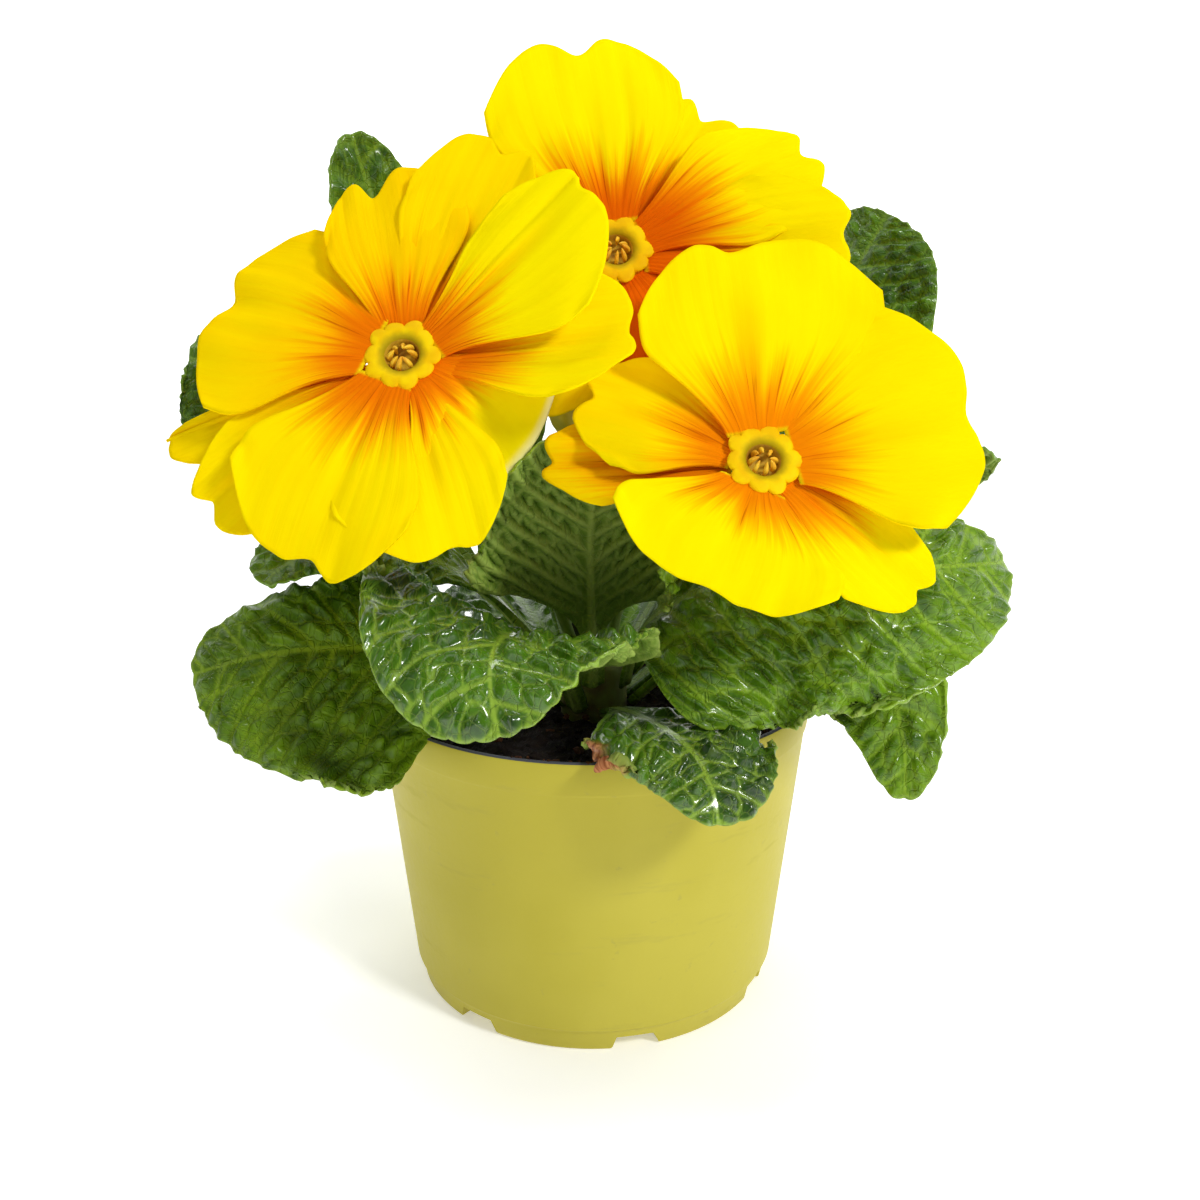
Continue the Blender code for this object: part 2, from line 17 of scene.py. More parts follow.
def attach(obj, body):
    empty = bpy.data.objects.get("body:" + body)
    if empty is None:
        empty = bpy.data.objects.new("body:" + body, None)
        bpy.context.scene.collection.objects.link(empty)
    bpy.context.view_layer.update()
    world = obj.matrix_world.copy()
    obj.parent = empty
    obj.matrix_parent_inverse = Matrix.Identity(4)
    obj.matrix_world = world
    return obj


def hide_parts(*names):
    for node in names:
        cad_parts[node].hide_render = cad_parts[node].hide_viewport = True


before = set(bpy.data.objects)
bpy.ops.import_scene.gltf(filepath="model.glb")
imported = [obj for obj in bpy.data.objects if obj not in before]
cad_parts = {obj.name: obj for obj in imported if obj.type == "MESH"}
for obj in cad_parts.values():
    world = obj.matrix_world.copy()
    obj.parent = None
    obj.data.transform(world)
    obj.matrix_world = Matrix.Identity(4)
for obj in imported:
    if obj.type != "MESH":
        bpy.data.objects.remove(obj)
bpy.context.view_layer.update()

MILLIMETRE = 0.001

# Pot
POT_RADIUS = 45.0
POT_HEIGHT = 63.0
WALL = 1.3
FOOT_RADIUS = 37.0
HUB_RADIUS = 9.0
BASE_LIFT = 2.2
FOOT_STEP = 5.0
BAND_HEIGHT = 7.0
POT_SIDES = 144
FOOT_NOTCHES = 7
NOTCH_WIDTH = 10.5
NOTCH_TOP_WIDTH = 7.4
NOTCH_HEIGHT = 3.6
FIRST_NOTCH = math.radians(-77.2)
DRAIN_RADIUS = 3.0
DRAIN_CIRCLE = 24.0

# Soil and crown
SOIL_TOP = 57.0
SOIL_FLOOR = 4.2
CROWN_RADIUS = 7.0
CROWN_BOTTOM = 50.0
CROWN_TOP = 68.0

# Leaves
LEAF_THICKNESS = 0.55
LEAF_LIFT = 0.25
STEM_SHARE = 0.085
ROUND_END = 0.30
END_NARROWING = 0.10
VEIN_SLOPE = 0.62
VEIN_CURVE = 0.011
RIB_HALF_WIDTH = 1.5
SIDE_VEIN_HALF_WIDTH = 0.40
RIB_DEPTH = 1.5
SIDE_RIB_DEPTH = 0.55
CELL = 5.6
FINE_CELL = 1.7
DOME = 2.1
FINE_DOME = 0.2
TOOTH = 4.4
TOOTH_DEPTH = 0.5

# Blooms
PETAL_THICKNESS = 0.42
PETAL_START = 5.0
PETAL_ROWS = 46
PETAL_COLUMNS = 56
CLAW_SHARE = 0.24
PETAL_ROUNDING = 0.34
END_WAVE = 1.0
SIDE_WAVE = 0.8
FURROW_DEPTH = 0.7
PLEAT_HEIGHT = 0.35
FINE_RIB_HEIGHT = 0.07
EYE_RADIUS = 6.6
TUBE_RADIUS = 2.0
TUBE_LENGTH = 15.0
THROAT_RADIUS = 2.9
THROAT_DEPTH = 1.9
ANTHERS = 8
ANTHER_SHAPE = (0.52, 0.46, 1.6)
STALK_RADIUS = 1.2
STALK_SEAT = 0.75
CALYX_RIM = -4.6
CALYX_TOOTH = 3.6
BUD_LENGTH = 9.0

# Loose soil
SOIL_CRUMBS = 430
RIM_CRUMBS = 30

# Light and camera, in metres, watts and degrees
WORLD_STRENGTH = 0.20
FLOOR_GLOW = 0.34
BACKDROP_GLOW = 0.95
BACKDROP_PLACE = 0.9
STAGE_SIZE = 6.0
STAGE_DROP = 0.0002
LAMP_AIM = (0, 0, 0.09)
LAMPS = {
    "key": ((0.60, -0.60, 0.72), 0.20, 5.9),
    "fill": ((-0.75, -0.55, 0.55), 0.3, 0.4),
    "top": ((-0.15, -0.05, 0.95), 0.25, 1.6),
}
LENS = 38.235
CAMERA_PLACE = (0.00138, -0.2514, 0.1505)
CAMERA_DIP = 15.63


class Leaf(NamedTuple):
    """One leaf: its root's azimuth and height, its curve's knee, shoulder and tip, and its two half widths.

    Left and right are as seen from above by someone who looks from the crown to the tip. Droops bend the
    halves down in degrees, and the blade widens from the narrow share of the length to the full one.
    """

    azimuth: float
    height: float
    knee: tuple
    shoulder: tuple
    tip: tuple
    left: float
    right: float
    roll: float = 0.0
    left_droop: float = 26.0
    right_droop: float = 26.0
    wave: float = 1.8
    waves: float = 3.0
    narrow: float = 0.16
    full: float = 0.66
    look: str = "dark"
    vein_gap: float = 8.0
    rows: int = 100
    columns: int = 84
    dry: float = 0.0


class Petal(NamedTuple):
    """One petal's shape, how golden it is, how far its orange heart runs, how strong the painted shade down
    its middle fold is, its rim.
    """

    angle: float
    length: float
    left: float
    right: float
    notch: float
    layer: float
    lift: float
    bend: float
    fold: float
    tone: float = 0.4
    reach: float = 0.4
    # Strength of the painted shade, a deeper golden band, down the petal's middle fold.
    fold_shade: float = 0.0
    cream: float = 0.0


class Bloom(NamedTuple):
    """One bloom: its eye, the height and the turn of its gaze, its stalk's foot and knee, its petals."""

    eye: tuple
    gaze: tuple
    foot: tuple
    knee: tuple
    petals: tuple = ()


LEAVES = {
    "left_low": Leaf(
        196, 59.3, (-24, -22, 80), (-54, -29, 82), (-76, -23, 72), 29, 16, -52, -14, 16, 1.4,
        look="olive", vein_gap=11.0, rows=165, columns=130),
    "left_small": Leaf(
        214, 64.6, (-22, -8, 95), (-50, -9, 102), (-60, -26, 91), 9, 16, -34, 8, 29, 1.6, vein_gap=6.5),
    "front_left": Leaf(
        247, 59.6, (-6, -24, 82), (-22, -50, 99), (-15, -58, 73), 24, 28, -10, -22, -24, 2.0, 2.5,
        narrow=0.10, full=0.46, look="glossy", vein_gap=9.0, rows=180, columns=150),
    "centre": Leaf(
        268, 64.8, (0, -13, 86), (-3, -23, 108), (4, -27, 118), 30, 25, -3, 125, 40, 1.2,
        look="fresh", vein_gap=5.0, rows=150, columns=150),
    "front_low": Leaf(
        288, 58.9, (3, -28, 68), (21, -52, 75), (21, -59, 58), 20, 15, 0, 30, 18, 1.6, 3.5,
        look="glossy", vein_gap=8.0, rows=150, columns=120, dry=1.0),
    "right_low": Leaf(
        350, 59.2, (36, -9, 91), (62, -21, 81), (59, -29, 49), 12, 14, 80, 10, 10, 1.2, look="fresh"),
    "right": Leaf(
        322, 64.5, (9, -27, 102), (50, -46, 96), (78, -18, 93), 16, 28, 57, 5, 28, 1.8,
        narrow=0.10, full=0.38, look="fresh", vein_gap=9.5, rows=180, columns=150),
    "right_mid": Leaf(8, 64.9, (26, 3, 90), (70, 12, 114), (82, 5, 107), 20, 14, -30, 26, 25, 1.2),
    "right_back": Leaf(
        46, 64.6, (21, 19, 91), (58, 41, 144), (64, 40, 157), 25, 29, 14, 15, 22, 1.4,
        rows=140, columns=110),
    "right_hind": Leaf(34, 59.0, (30, 20, 74), (60, 36, 88), (74, 44, 62), 20, 21),
    "back": Leaf(
        92, 64.7, (2, 24, 86), (6, 50, 112), (10, 74, 98), 22, 21, 0, 24, 24, 1.6,
        narrow=0.06, full=0.40, look="glossy"),
    "back_right": Leaf(
        74, 59.3, (8, 28, 72), (20, 60, 86), (24, 76, 54), 18, 17, 0, 28, 28, 1.8, 2.5,
        narrow=0.10, full=0.50),
    "back_left": Leaf(
        116, 59.1, (-14, 28, 71), (-28, 60, 82), (-32, 76, 50), 20, 18, 0, 28, 28, narrow=0.10, full=0.50),
    "left_back": Leaf(130, 64.6, (-12, 22, 98), (-42, 41, 131), (-51, 35, 173), 19, 18, -22, -24, -35, 1.2),
    "left_mid": Leaf(170, 64.8, (-23, 8, 88), (-74, 12, 130), (-83, 13, 128), 22, 17, -46, 20, 10, 1.2),
    "left_hind": Leaf(154, 59.2, (-28, 16, 73), (-62, 32, 86), (-78, 38, 58), 20, 20),
}

BLOOMS = {
    "left": Bloom(
        eye=(-31.9, -34.0, 132.4), gaze=(34, -4), foot=(-3.4, -2.2), knee=(-12, -6, 100),
        petals=(
            Petal(158, 38.0, 21.5, 17.5, 0.08, 0.0, 5, -17, 0.06, 0.7, 0.42),
            Petal(104, 36.0, 9.5, 16.0, 0.16, 0.9, 17, -14, 0.05, 0.8, 0.38),
            Petal(250, 40.0, 14.0, 18.0, 0.05, 0.0, 9, -16, 0.05, 0.4, 0.42),
            Petal(38, 42.0, 8.5, 16.0, 0.05, 0.0, 20, 1, 0.10, 0.15, 0.38, 0.8),
            Petal(320, 27.0, 17.5, 14.5, 0.04, 0.6, 4, -36, 0.06, 0.2, 0.44, 0.0, 1.0),
            Petal(68, 44.0, 12.0, 11.0, 0.07, 2.0, 16, -6, 0.05, 0.6, 0.40),
            Petal(4, 40.5, 14.0, 11.0, 0.05, 2.2, 14, -2, 0.05, 0.35, 0.50, 0.4),
            Petal(287, 35.0, 12.0, 17.0, 0.06, 2.8, 6, -13, 0.04, 0.4, 0.34),
            Petal(217, 43.0, 13.5, 8.0, 0.06, 2.0, 2, -11, 0.05, 0.5, 0.50, 0.5),
            Petal(196, 45.0, 8.6, 3.0, 0.02, 3.4, -1, -9, 0.04, 0.6, 0.50),
        )),
    "top": Bloom(
        eye=(4.3, -14.0, 149.4), gaze=(30, 3), foot=(-0.4, 1.6), knee=(-2, 3, 112),
        petals=(
            Petal(101, 39.0, 18.5, 17.5, 0.09, 0.0, 18, -4, 0.06, 0.2, 0.42),
            Petal(28, 41.0, 11.0, 13.0, 0.05, 0.0, 16, -14, 0.10, 0.35, 0.52),
            Petal(0, 42.0, 12.5, 14.0, 0.05, 0.9, 13, -4, 0.06, 0.3, 0.55),
            Petal(59, 36.0, 12.5, 16.0, 0.08, 2.2, 8, -10, 0.04, 0.5, 0.50),
            Petal(303, 34.0, 13.0, 13.0, 0.08, 1.6, 4, -12, 0.06, 0.9, 1.10),
            Petal(236, 34.0, 13.0, 13.0, 0.08, 0.0, 6, -12, 0.06, 0.5, 0.50),
            Petal(164, 35.0, 13.0, 13.0, 0.08, 1.2, 6, -14, 0.06, 0.5, 0.50),
        )),
    "right": Bloom(
        eye=(28.7, -40.0, 115.6), gaze=(38, 8), foot=(3.4, -1.8), knee=(6, -4, 102),
        petals=(
            Petal(96, 38.5, 17.5, 26.0, 0.07, 0.0, 20, -1, 0.05, 0.35, 0.38, 1.0),
            Petal(7, 37.0, 23.0, 18.5, 0.06, 0.0, 14, -5, 0.10, 0.3, 0.40, 0.5),
            Petal(317, 35.0, 9.5, 11.0, 0.05, 1.9, 3, -8, 0.05, 0.2, 0.50, 0.9),
            Petal(242, 25.0, 20.0, 20.0, 0.05, 0.4, 14, -28, 0.05, 0.1, 0.42),
            Petal(153, 33.0, 11.0, 11.0, 0.07, 2.4, 9, -12, 0.05, 0.4, 0.50, 0.6),
            Petal(172, 37.0, 8.0, 9.0, 0.07, 4.0, 2, -10, 0.05, 0.7, 0.85, 0.6),
        )),
    "back": Bloom(
        eye=(8.0, 24.0, 141.0), gaze=(30, 174), foot=(3.4, 3.2), knee=(10, 8, 104),
        petals=(
            Petal(90, 31.0, 16.0, 16.0, 0.09, 0.0, 10, -18, 0.08),
            Petal(162, 31.0, 16.0, 16.0, 0.09, 1.0, 8, -20, 0.08),
            Petal(234, 31.0, 16.0, 16.0, 0.09, 0.0, 10, -24, 0.08),
            Petal(306, 29.0, 15.0, 15.0, 0.09, 1.0, 8, -24, 0.08),
            Petal(18, 28.0, 15.0, 15.0, 0.09, 1.9, 6, -20, 0.08),
        )),
}

BUD = Bloom(eye=(-5.0, -12.0, 120.0), gaze=(64, -20), foot=(0.2, -4.6), knee=(-2, -7, 94))


# Colours and shader maths


def linear(red, green, blue):
    """A colour from its 0 to 255 values as seen on a screen."""
    values = (c / 255.0 for c in (red, green, blue))
    return tuple(c / 12.92 if c <= 0.04045 else ((c + 0.055) / 1.055) ** 2.4 for c in values)


class Number:
    """A socket that carries a number, so that shader maths reads as Python."""

    def __init__(self, finish, socket):
        self.finish, self.socket = finish, socket

    def join(self, operation, *others):
        inputs = dict(enumerate((self, *others)))
        return self.finish.node("ShaderNodeMath", dict(operation=operation), inputs).number()

    def after(self, operation, first):
        return self.finish.node("ShaderNodeMath", dict(operation=operation), {0: first, 1: self}).number()

    def __add__(self, other):
        return self.join("ADD", other)

    def __radd__(self, other):
        return self.join("ADD", other)

    def __sub__(self, other):
        return self.join("SUBTRACT", other)

    def __rsub__(self, other):
        return self.after("SUBTRACT", other)

    def __mul__(self, other):
        return self.join("MULTIPLY", other)

    def __rmul__(self, other):
        return self.join("MULTIPLY", other)

    def size(self):
        return self.join("ABSOLUTE")

    def between(self, low, high):
        """0 below low, 1 above high, and smooth in between."""
        return self.finish.ramp(self, low, high)


class Node:
    """A node with its output sockets, as numbers or as they are."""

    def __init__(self, finish, node):
        self.finish, self.node = finish, node

    def number(self, name=0):
        return Number(self.finish, self.node.outputs[name])

    def out(self, name=0):
        return self.node.outputs[name]


class Finish:
    """One material and its Principled shader."""

    def __init__(self, name, **constants):
        self.material = bpy.data.materials.new(name)
        self.material.use_nodes = True
        self.tree = self.material.node_tree
        self.shader = self.tree.nodes["Principled BSDF"]
        for socket, value in constants.items():
            self.shader.inputs[socket.replace("_", " ")].default_value = value

    def node(self, kind, settings=None, inputs=None):
        made = self.tree.nodes.new(kind)
        for name, value in (settings or {}).items():
            setattr(made, name, value)
        for name, value in (inputs or {}).items():
            self.feed(made.inputs[name], value)
        return Node(self, made)

    def feed(self, socket, value):
        if isinstance(value, Number):
            value = value.socket
        if isinstance(value, bpy.types.NodeSocket):
            self.tree.links.new(value, socket)
        elif isinstance(value, tuple) and len(value) == 3 and socket.type == "RGBA":
            socket.default_value = (*value, 1.0)
        else:
            socket.default_value = value

    def drive(self, name, value):
        self.feed(self.shader.inputs[name], value)

    def ramp(self, value, low, high):
        inputs = {"Value": value, "From Min": low, "From Max": high}
        return self.node("ShaderNodeMapRange", dict(interpolation_type="SMOOTHSTEP"), inputs).number()

    def mix(self, factor, first, second):
        return self.node("ShaderNodeMix", dict(data_type="RGBA"), {0: factor, 6: first, 7: second}).out(2)

    def attribute(self, name):
        return self.node("ShaderNodeAttribute", dict(attribute_name=name)).number("Fac")

    def object_place(self):
        return self.node("ShaderNodeTexCoord").out("Object")

    def surface_place(self):
        return self.node("ShaderNodeUVMap", dict(uv_map="surface")).out()

    def scaled(self, place, scale):
        return self.node("ShaderNodeMapping", None, {"Vector": place, "Scale": scale}).out()

    def parts(self, place):
        node = self.node("ShaderNodeSeparateXYZ", None, {0: place})
        return [node.number(axis) for axis in range(3)]

    def together(self, x, y, z):
        return self.node("ShaderNodeCombineXYZ", None, {0: x, 1: y, 2: z}).out()

    def noise(self, place, scale, detail=3.0, roughness=0.5):
        inputs = {"Vector": place, "Scale": scale, "Detail": detail, "Roughness": roughness}
        return self.node("ShaderNodeTexNoise", None, inputs).number("Fac")

    def cells(self, place, scale):
        """How far a place is from the nearest edge between cells."""
        inputs = {"Vector": place, "Scale": scale}
        node = self.node("ShaderNodeTexVoronoi", dict(feature="DISTANCE_TO_EDGE"), inputs)
        return node.number("Distance")

    def bump(self, height, strength, distance):
        inputs = {"Height": height, "Strength": strength, "Distance": distance}
        self.drive("Normal", self.node("ShaderNodeBump", None, inputs).out())


def leaf_finish(name, deep, bright, vein, roughness, coat, crinkle):
    """Quilted green: light along the veins, mottled on the domes, with a fine net between the veins."""
    finish = Finish(name, Specular_IOR_Level=0.2, Coat_Weight=coat, Coat_Roughness=0.14)
    place = finish.surface_place()
    broad = finish.noise(finish.object_place(), 48.0, 3.0)
    mottle = finish.noise(place, 260.0, 3.0, 0.6)
    fine = finish.noise(place, 850.0, 3.0, 0.6)
    net = 1.0 - finish.cells(place, 560.0).between(0.0, 0.10)
    veins = finish.attribute("vein")
    dome = finish.attribute("dome")
    edge = finish.attribute("edge")
    green = finish.mix((broad * 0.6 + mottle * 0.4).between(0.36, 0.64), deep, bright)
    green = finish.mix((1.0 - dome).between(0.3, 1.0) * 0.2, green, bright)
    green = finish.mix(net * 0.2, green, vein)
    green = finish.mix(veins * 0.85, green, vein)
    green = finish.mix(edge * 0.75, green, vein)
    dry = finish.attribute("dry")
    brown = finish.mix(fine.between(0.35, 0.65), linear(214, 146, 96), linear(132, 70, 36))
    finish.drive("Base Color", finish.mix(dry, green, brown))
    finish.drive("Roughness", (fine - 0.5) * 0.22 + dry * 0.3 + roughness)
    finish.bump(net * -0.5 + fine * 0.6 + mottle * 0.8, crinkle, 0.0005)
    return finish.material


def petal_finish(name, orange, deep):
    """Bright yellow with an orange heart that feathers out along the veins, and painted shade down some
    petals' middle fold.
    """
    finish = Finish(name, Roughness=0.6, Specular_IOR_Level=0.0)
    across, along, _ = finish.parts(finish.surface_place())
    tint, tone, reach = (finish.attribute(key) for key in ("tint", "tone", "reach"))
    off_middle = (across - 0.5).size()
    broad = finish.noise(finish.together(across * 8.0 + tint * 31.0, along * 1.1, tint * 17.0), 1.0, 2.0)
    fine = finish.noise(finish.together(across * 42.0 + tint * 53.0, along * 1.8, tint * 7.0), 1.0, 2.0)
    hair = finish.noise(finish.together(across * 120.0 + tint * 23.0, along * 2.5, tint * 3.0), 1.0, 2.0)
    soft = finish.noise(finish.object_place(), 55.0, 2.0)
    limit = reach * (1.1 - off_middle * off_middle * 1.4) + (broad - 0.5) * 0.34
    limit = limit + (fine - 0.5) * 0.30 + (hair - 0.5) * 0.12
    heart = (limit - along).between(-0.06, 0.24)
    core = (limit * 0.66 - along).between(-0.04, 0.20)
    # Painted shade: a deeper golden band down the middle of the petal, where shade falls in its furrow.
    fold_shade = finish.attribute("fold_shade") * (0.11 - off_middle).between(0.0, 0.10)
    fold_shade = fold_shade * (0.95 - along).between(0.0, 0.75)
    lines = (fine * 0.6 + hair * 0.4).between(0.57, 0.64) * (limit * 0.8 - along).between(0.0, 0.15)
    golden = tone * 0.75 + (soft - 0.5) * 0.5 + (0.9 - along).between(0.0, 0.9) * 0.22 + (fine - 0.5) * 0.16
    colour = finish.mix(golden.between(0.0, 1.0), linear(255, 236, 2), linear(254, 198, 2))
    colour = finish.mix(fold_shade * 0.7, colour, linear(250, 172, 2))
    colour = finish.mix(heart, colour, orange)
    colour = finish.mix(core, colour, deep)
    colour = finish.mix(lines * 0.55, colour, linear(176, 66, 4))
    colour = finish.mix((0.018 - along).between(-0.012, 0.012), colour, linear(240, 206, 14))
    colour = finish.mix(finish.attribute("cream"), colour, linear(252, 243, 158))
    finish.drive("Base Color", colour)
    finish.bump(hair * 0.35 + fine * 0.8 + broad, 0.28, 0.0004)
    return finish.material


def eye_finish():
    """The yellow star round the throat, greener towards its middle."""
    finish = Finish("flower eye", Roughness=0.6, Specular_IOR_Level=0.05)
    place = finish.object_place()
    ring = finish.attribute("ring")
    grain = finish.noise(place, 700.0, 3.0)
    spots = finish.noise(place, 260.0, 2.0)
    yellow = finish.mix(spots.between(0.35, 0.65), linear(250, 212, 4), linear(240, 190, 3))
    ringed = (ring + (grain - 0.5) * 0.12).between(0.46, 0.72)
    finish.drive("Base Color", finish.mix(ringed, linear(176, 152, 14), yellow))
    finish.bump(grain, 0.35, 0.0003)
    return finish.material


def plain_finish(name, first, second, scale, roughness, bump_depth=0.0002, **constants):
    """A two-tone mottled finish."""
    finish = Finish(name, **constants)
    place = finish.object_place()
    broad = finish.noise(place, scale, 4.0)
    fine = finish.noise(place, scale * 6.0, 2.0)
    finish.drive("Base Color", finish.mix(broad.between(0.3, 0.7), first, second))
    finish.drive("Roughness", roughness + (fine - 0.5) * 0.15)
    finish.bump(fine, 0.4, bump_depth)
    return finish.material


def pot_finish(name, first, second, dust):
    """Thin satin plastic with faint cloudiness, small scuffs and a little dust."""
    finish = Finish(name, Specular_IOR_Level=0.15)
    place = finish.object_place()
    cloud = finish.noise(place, 20.0, 3.0)
    grain = finish.noise(place, 900.0, 2.0)
    scuffs = finish.noise(finish.scaled(place, (1.0, 1.0, 6.0)), 45.0, 4.0, 0.65).between(0.60, 0.72)
    specks = finish.noise(place, 330.0, 3.0, 0.6).between(0.66, 0.76)
    colour = finish.mix(cloud.between(0.35, 0.65), first, second)
    colour = finish.mix(scuffs * 0.22, colour, dust)
    colour = finish.mix(specks * 0.35, colour, dust)
    finish.drive("Base Color", colour)
    finish.drive("Roughness", 0.46 + (grain - 0.5) * 0.12 + scuffs * 0.12)
    finish.bump(grain + cloud * 5.0, 0.10, 0.0004)
    return finish.material


# Mesh helpers


def deselect():
    for item in bpy.context.selected_objects:
        item.select_set(False)


def pick(item):
    deselect()
    item.select_set(True)
    bpy.context.view_layer.objects.active = item


def smooth(low, high, value):
    share = np.clip((value - low) / (high - low), 0.0, 1.0)
    return share * share * (3.0 - 2.0 * share)


def unit(vectors):
    return vectors / np.linalg.norm(vectors, axis=-1, keepdims=True)


def points_of(item):
    """A piece's points in millimetres."""
    flat = np.empty(len(item.data.vertices) * 3, np.float32)
    item.data.vertices.foreach_get("co", flat)
    return flat.reshape(-1, 3).astype(float) / MILLIMETRE


def set_points(item, points):
    item.data.vertices.foreach_set("co", (points * MILLIMETRE).astype(np.float32).ravel())
    item.data.update()


def add_attribute(item, name, values):
    layer = item.data.attributes.new(name, "FLOAT", "POINT")
    layer.data.foreach_set("value", np.asarray(values, np.float32).ravel())


def sheet(name, points, materials, uv, attributes):
    """A grid laid over an array of points in millimetres, with its UV map and its point attributes."""
    rows, columns = points.shape[:2]
    deselect()
    bpy.ops.mesh.primitive_grid_add(x_subdivisions=columns - 1, y_subdivisions=rows - 1, size=1.0)
    made = bpy.context.active_object
    made.name = made.data.name = name
    set_points(made, points.reshape(-1, 3))
    for each in materials:
        made.data.materials.append(each)
    for key, values in attributes.items():
        add_attribute(made, key, values)
    corners = np.empty(len(made.data.loops), np.int32)
    made.data.loops.foreach_get("vertex_index", corners)
    while made.data.uv_layers:
        made.data.uv_layers.remove(made.data.uv_layers[0])
    layer = made.data.uv_layers.new(name="surface")
    layer.data.foreach_set("uv", uv.reshape(-1, 2)[corners].astype(np.float32).ravel())
    return made


def apply_modifier(item, kind, **settings):
    pick(item)
    modifier = item.modifiers.new(kind.lower(), kind)
    for name, value in settings.items():
        setattr(modifier, name, value)
    bpy.ops.object.modifier_apply(modifier=modifier.name)


def join(items, name):
    deselect()
    for item in items:
        item.select_set(True)
    bpy.context.view_layer.objects.active = items[0]
    if len(items) > 1:
        bpy.ops.object.join()
    made = bpy.context.active_object
    made.name = made.data.name = name
    return made


def shade_smooth(item, angle=None):
    pick(item)
    if angle is None:
        bpy.ops.object.shade_smooth()
    else:
        bpy.ops.object.shade_smooth_by_angle(angle=math.radians(angle))


def hand_over(item, node):
    """Puts a finished piece in place of a CAD node."""
    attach(item, "root")
    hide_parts(node)


def turned(name, profile, sides, *materials):
    """A closed skin spun about Z from the (radius, height) points of its section."""
    deselect()
    bpy.ops.mesh.primitive_plane_add(size=MILLIMETRE)
    made = bpy.context.active_object
    made.name = made.data.name = name
    bpy.ops.object.mode_set(mode="EDIT")
    bpy.ops.mesh.merge(type="CENTER")
    radius, height = profile[0]
    bpy.ops.transform.translate(value=(radius * MILLIMETRE, 0.0, height * MILLIMETRE))
    for next_radius, next_height in profile[1:]:
        step = ((next_radius - radius) * MILLIMETRE, 0.0, (next_height - height) * MILLIMETRE)
        bpy.ops.mesh.extrude_region_move(TRANSFORM_OT_translate={"value": step})
        radius, height = next_radius, next_height
    bpy.ops.mesh.select_all(action="SELECT")
    bpy.ops.mesh.spin(steps=sides, angle=math.tau, center=(0.0, 0.0, 0.0), axis=(0.0, 0.0, 1.0))
    bpy.ops.mesh.select_all(action="SELECT")
    bpy.ops.mesh.remove_doubles(threshold=0.000004)
    bpy.ops.mesh.normals_make_consistent(inside=False)
    bpy.ops.object.mode_set(mode="OBJECT")
    for each in materials:
        made.data.materials.append(each)
    return made


def bezier(ends, share):
    """Points and directions of travel on a curve with four control points."""
    a, b, c, d = (np.array(end, float) for end in ends)
    s = share[..., None]
    r = 1.0 - s
    point = a * r**3 + b * (3 * r**2 * s) + c * (3 * r * s**2) + d * s**3
    travel = (b - a) * (3 * r**2) + (c - b) * (6 * r * s) + (d - c) * (3 * s**2)
    return point, unit(travel)


def grid_normals(points):
    down = np.gradient(points, axis=0)
    side = np.gradient(points, axis=1)
    return unit(np.cross(side, down))


# Cell noise in the leaf's own surface


def scatter(ix, iy, seed):
    """Two repeatable numbers from 0 to 1 for each pair of whole numbers."""
    mixed = ix * 374761393 + iy * 668265263 + seed * 2147483647
    mixed = (mixed ^ (mixed >> 13)) * 1274126177
    first = ((mixed ^ (mixed >> 16)) & 0xFFFF) / 65535.0
    second = (((mixed >> 7) ^ (mixed >> 21)) & 0xFFFF) / 65535.0
    return first, second


def cell_edges(x, y, seed):
    """How far each point is from the nearest edge between cells of a jittered grid."""
    base_x, base_y = np.floor(x).astype(np.int64), np.floor(y).astype(np.int64)
    nearest = np.full(x.shape, 9.0)
    second = np.full(x.shape, 9.0)
    for step_x in (-1, 0, 1):
        for step_y in (-1, 0, 1):
            ix, iy = base_x + step_x, base_y + step_y
            first_shift, second_shift = scatter(ix, iy, seed)
            gap = np.hypot(ix + 0.15 + 0.7 * first_shift - x, iy + 0.15 + 0.7 * second_shift - y)
            second = np.where(gap < nearest, nearest, np.minimum(second, gap))
            nearest = np.minimum(nearest, gap)
    return (second - nearest) * 0.5


def value_noise(x, y, seed):
    """Smooth noise from -1 to 1."""
    ix, iy = np.floor(x).astype(np.int64), np.floor(y).astype(np.int64)
    fx, fy = smooth(0, 1, x - ix), smooth(0, 1, y - iy)
    corners = [scatter(ix + a, iy + b, seed)[0] for a, b in ((0, 0), (1, 0), (0, 1), (1, 1))]
    low = corners[0] * (1 - fx) + corners[1] * fx
    high = corners[2] * (1 - fx) + corners[3] * fx
    return 2.0 * (low * (1 - fy) + high * fy) - 1.0


# Leaves


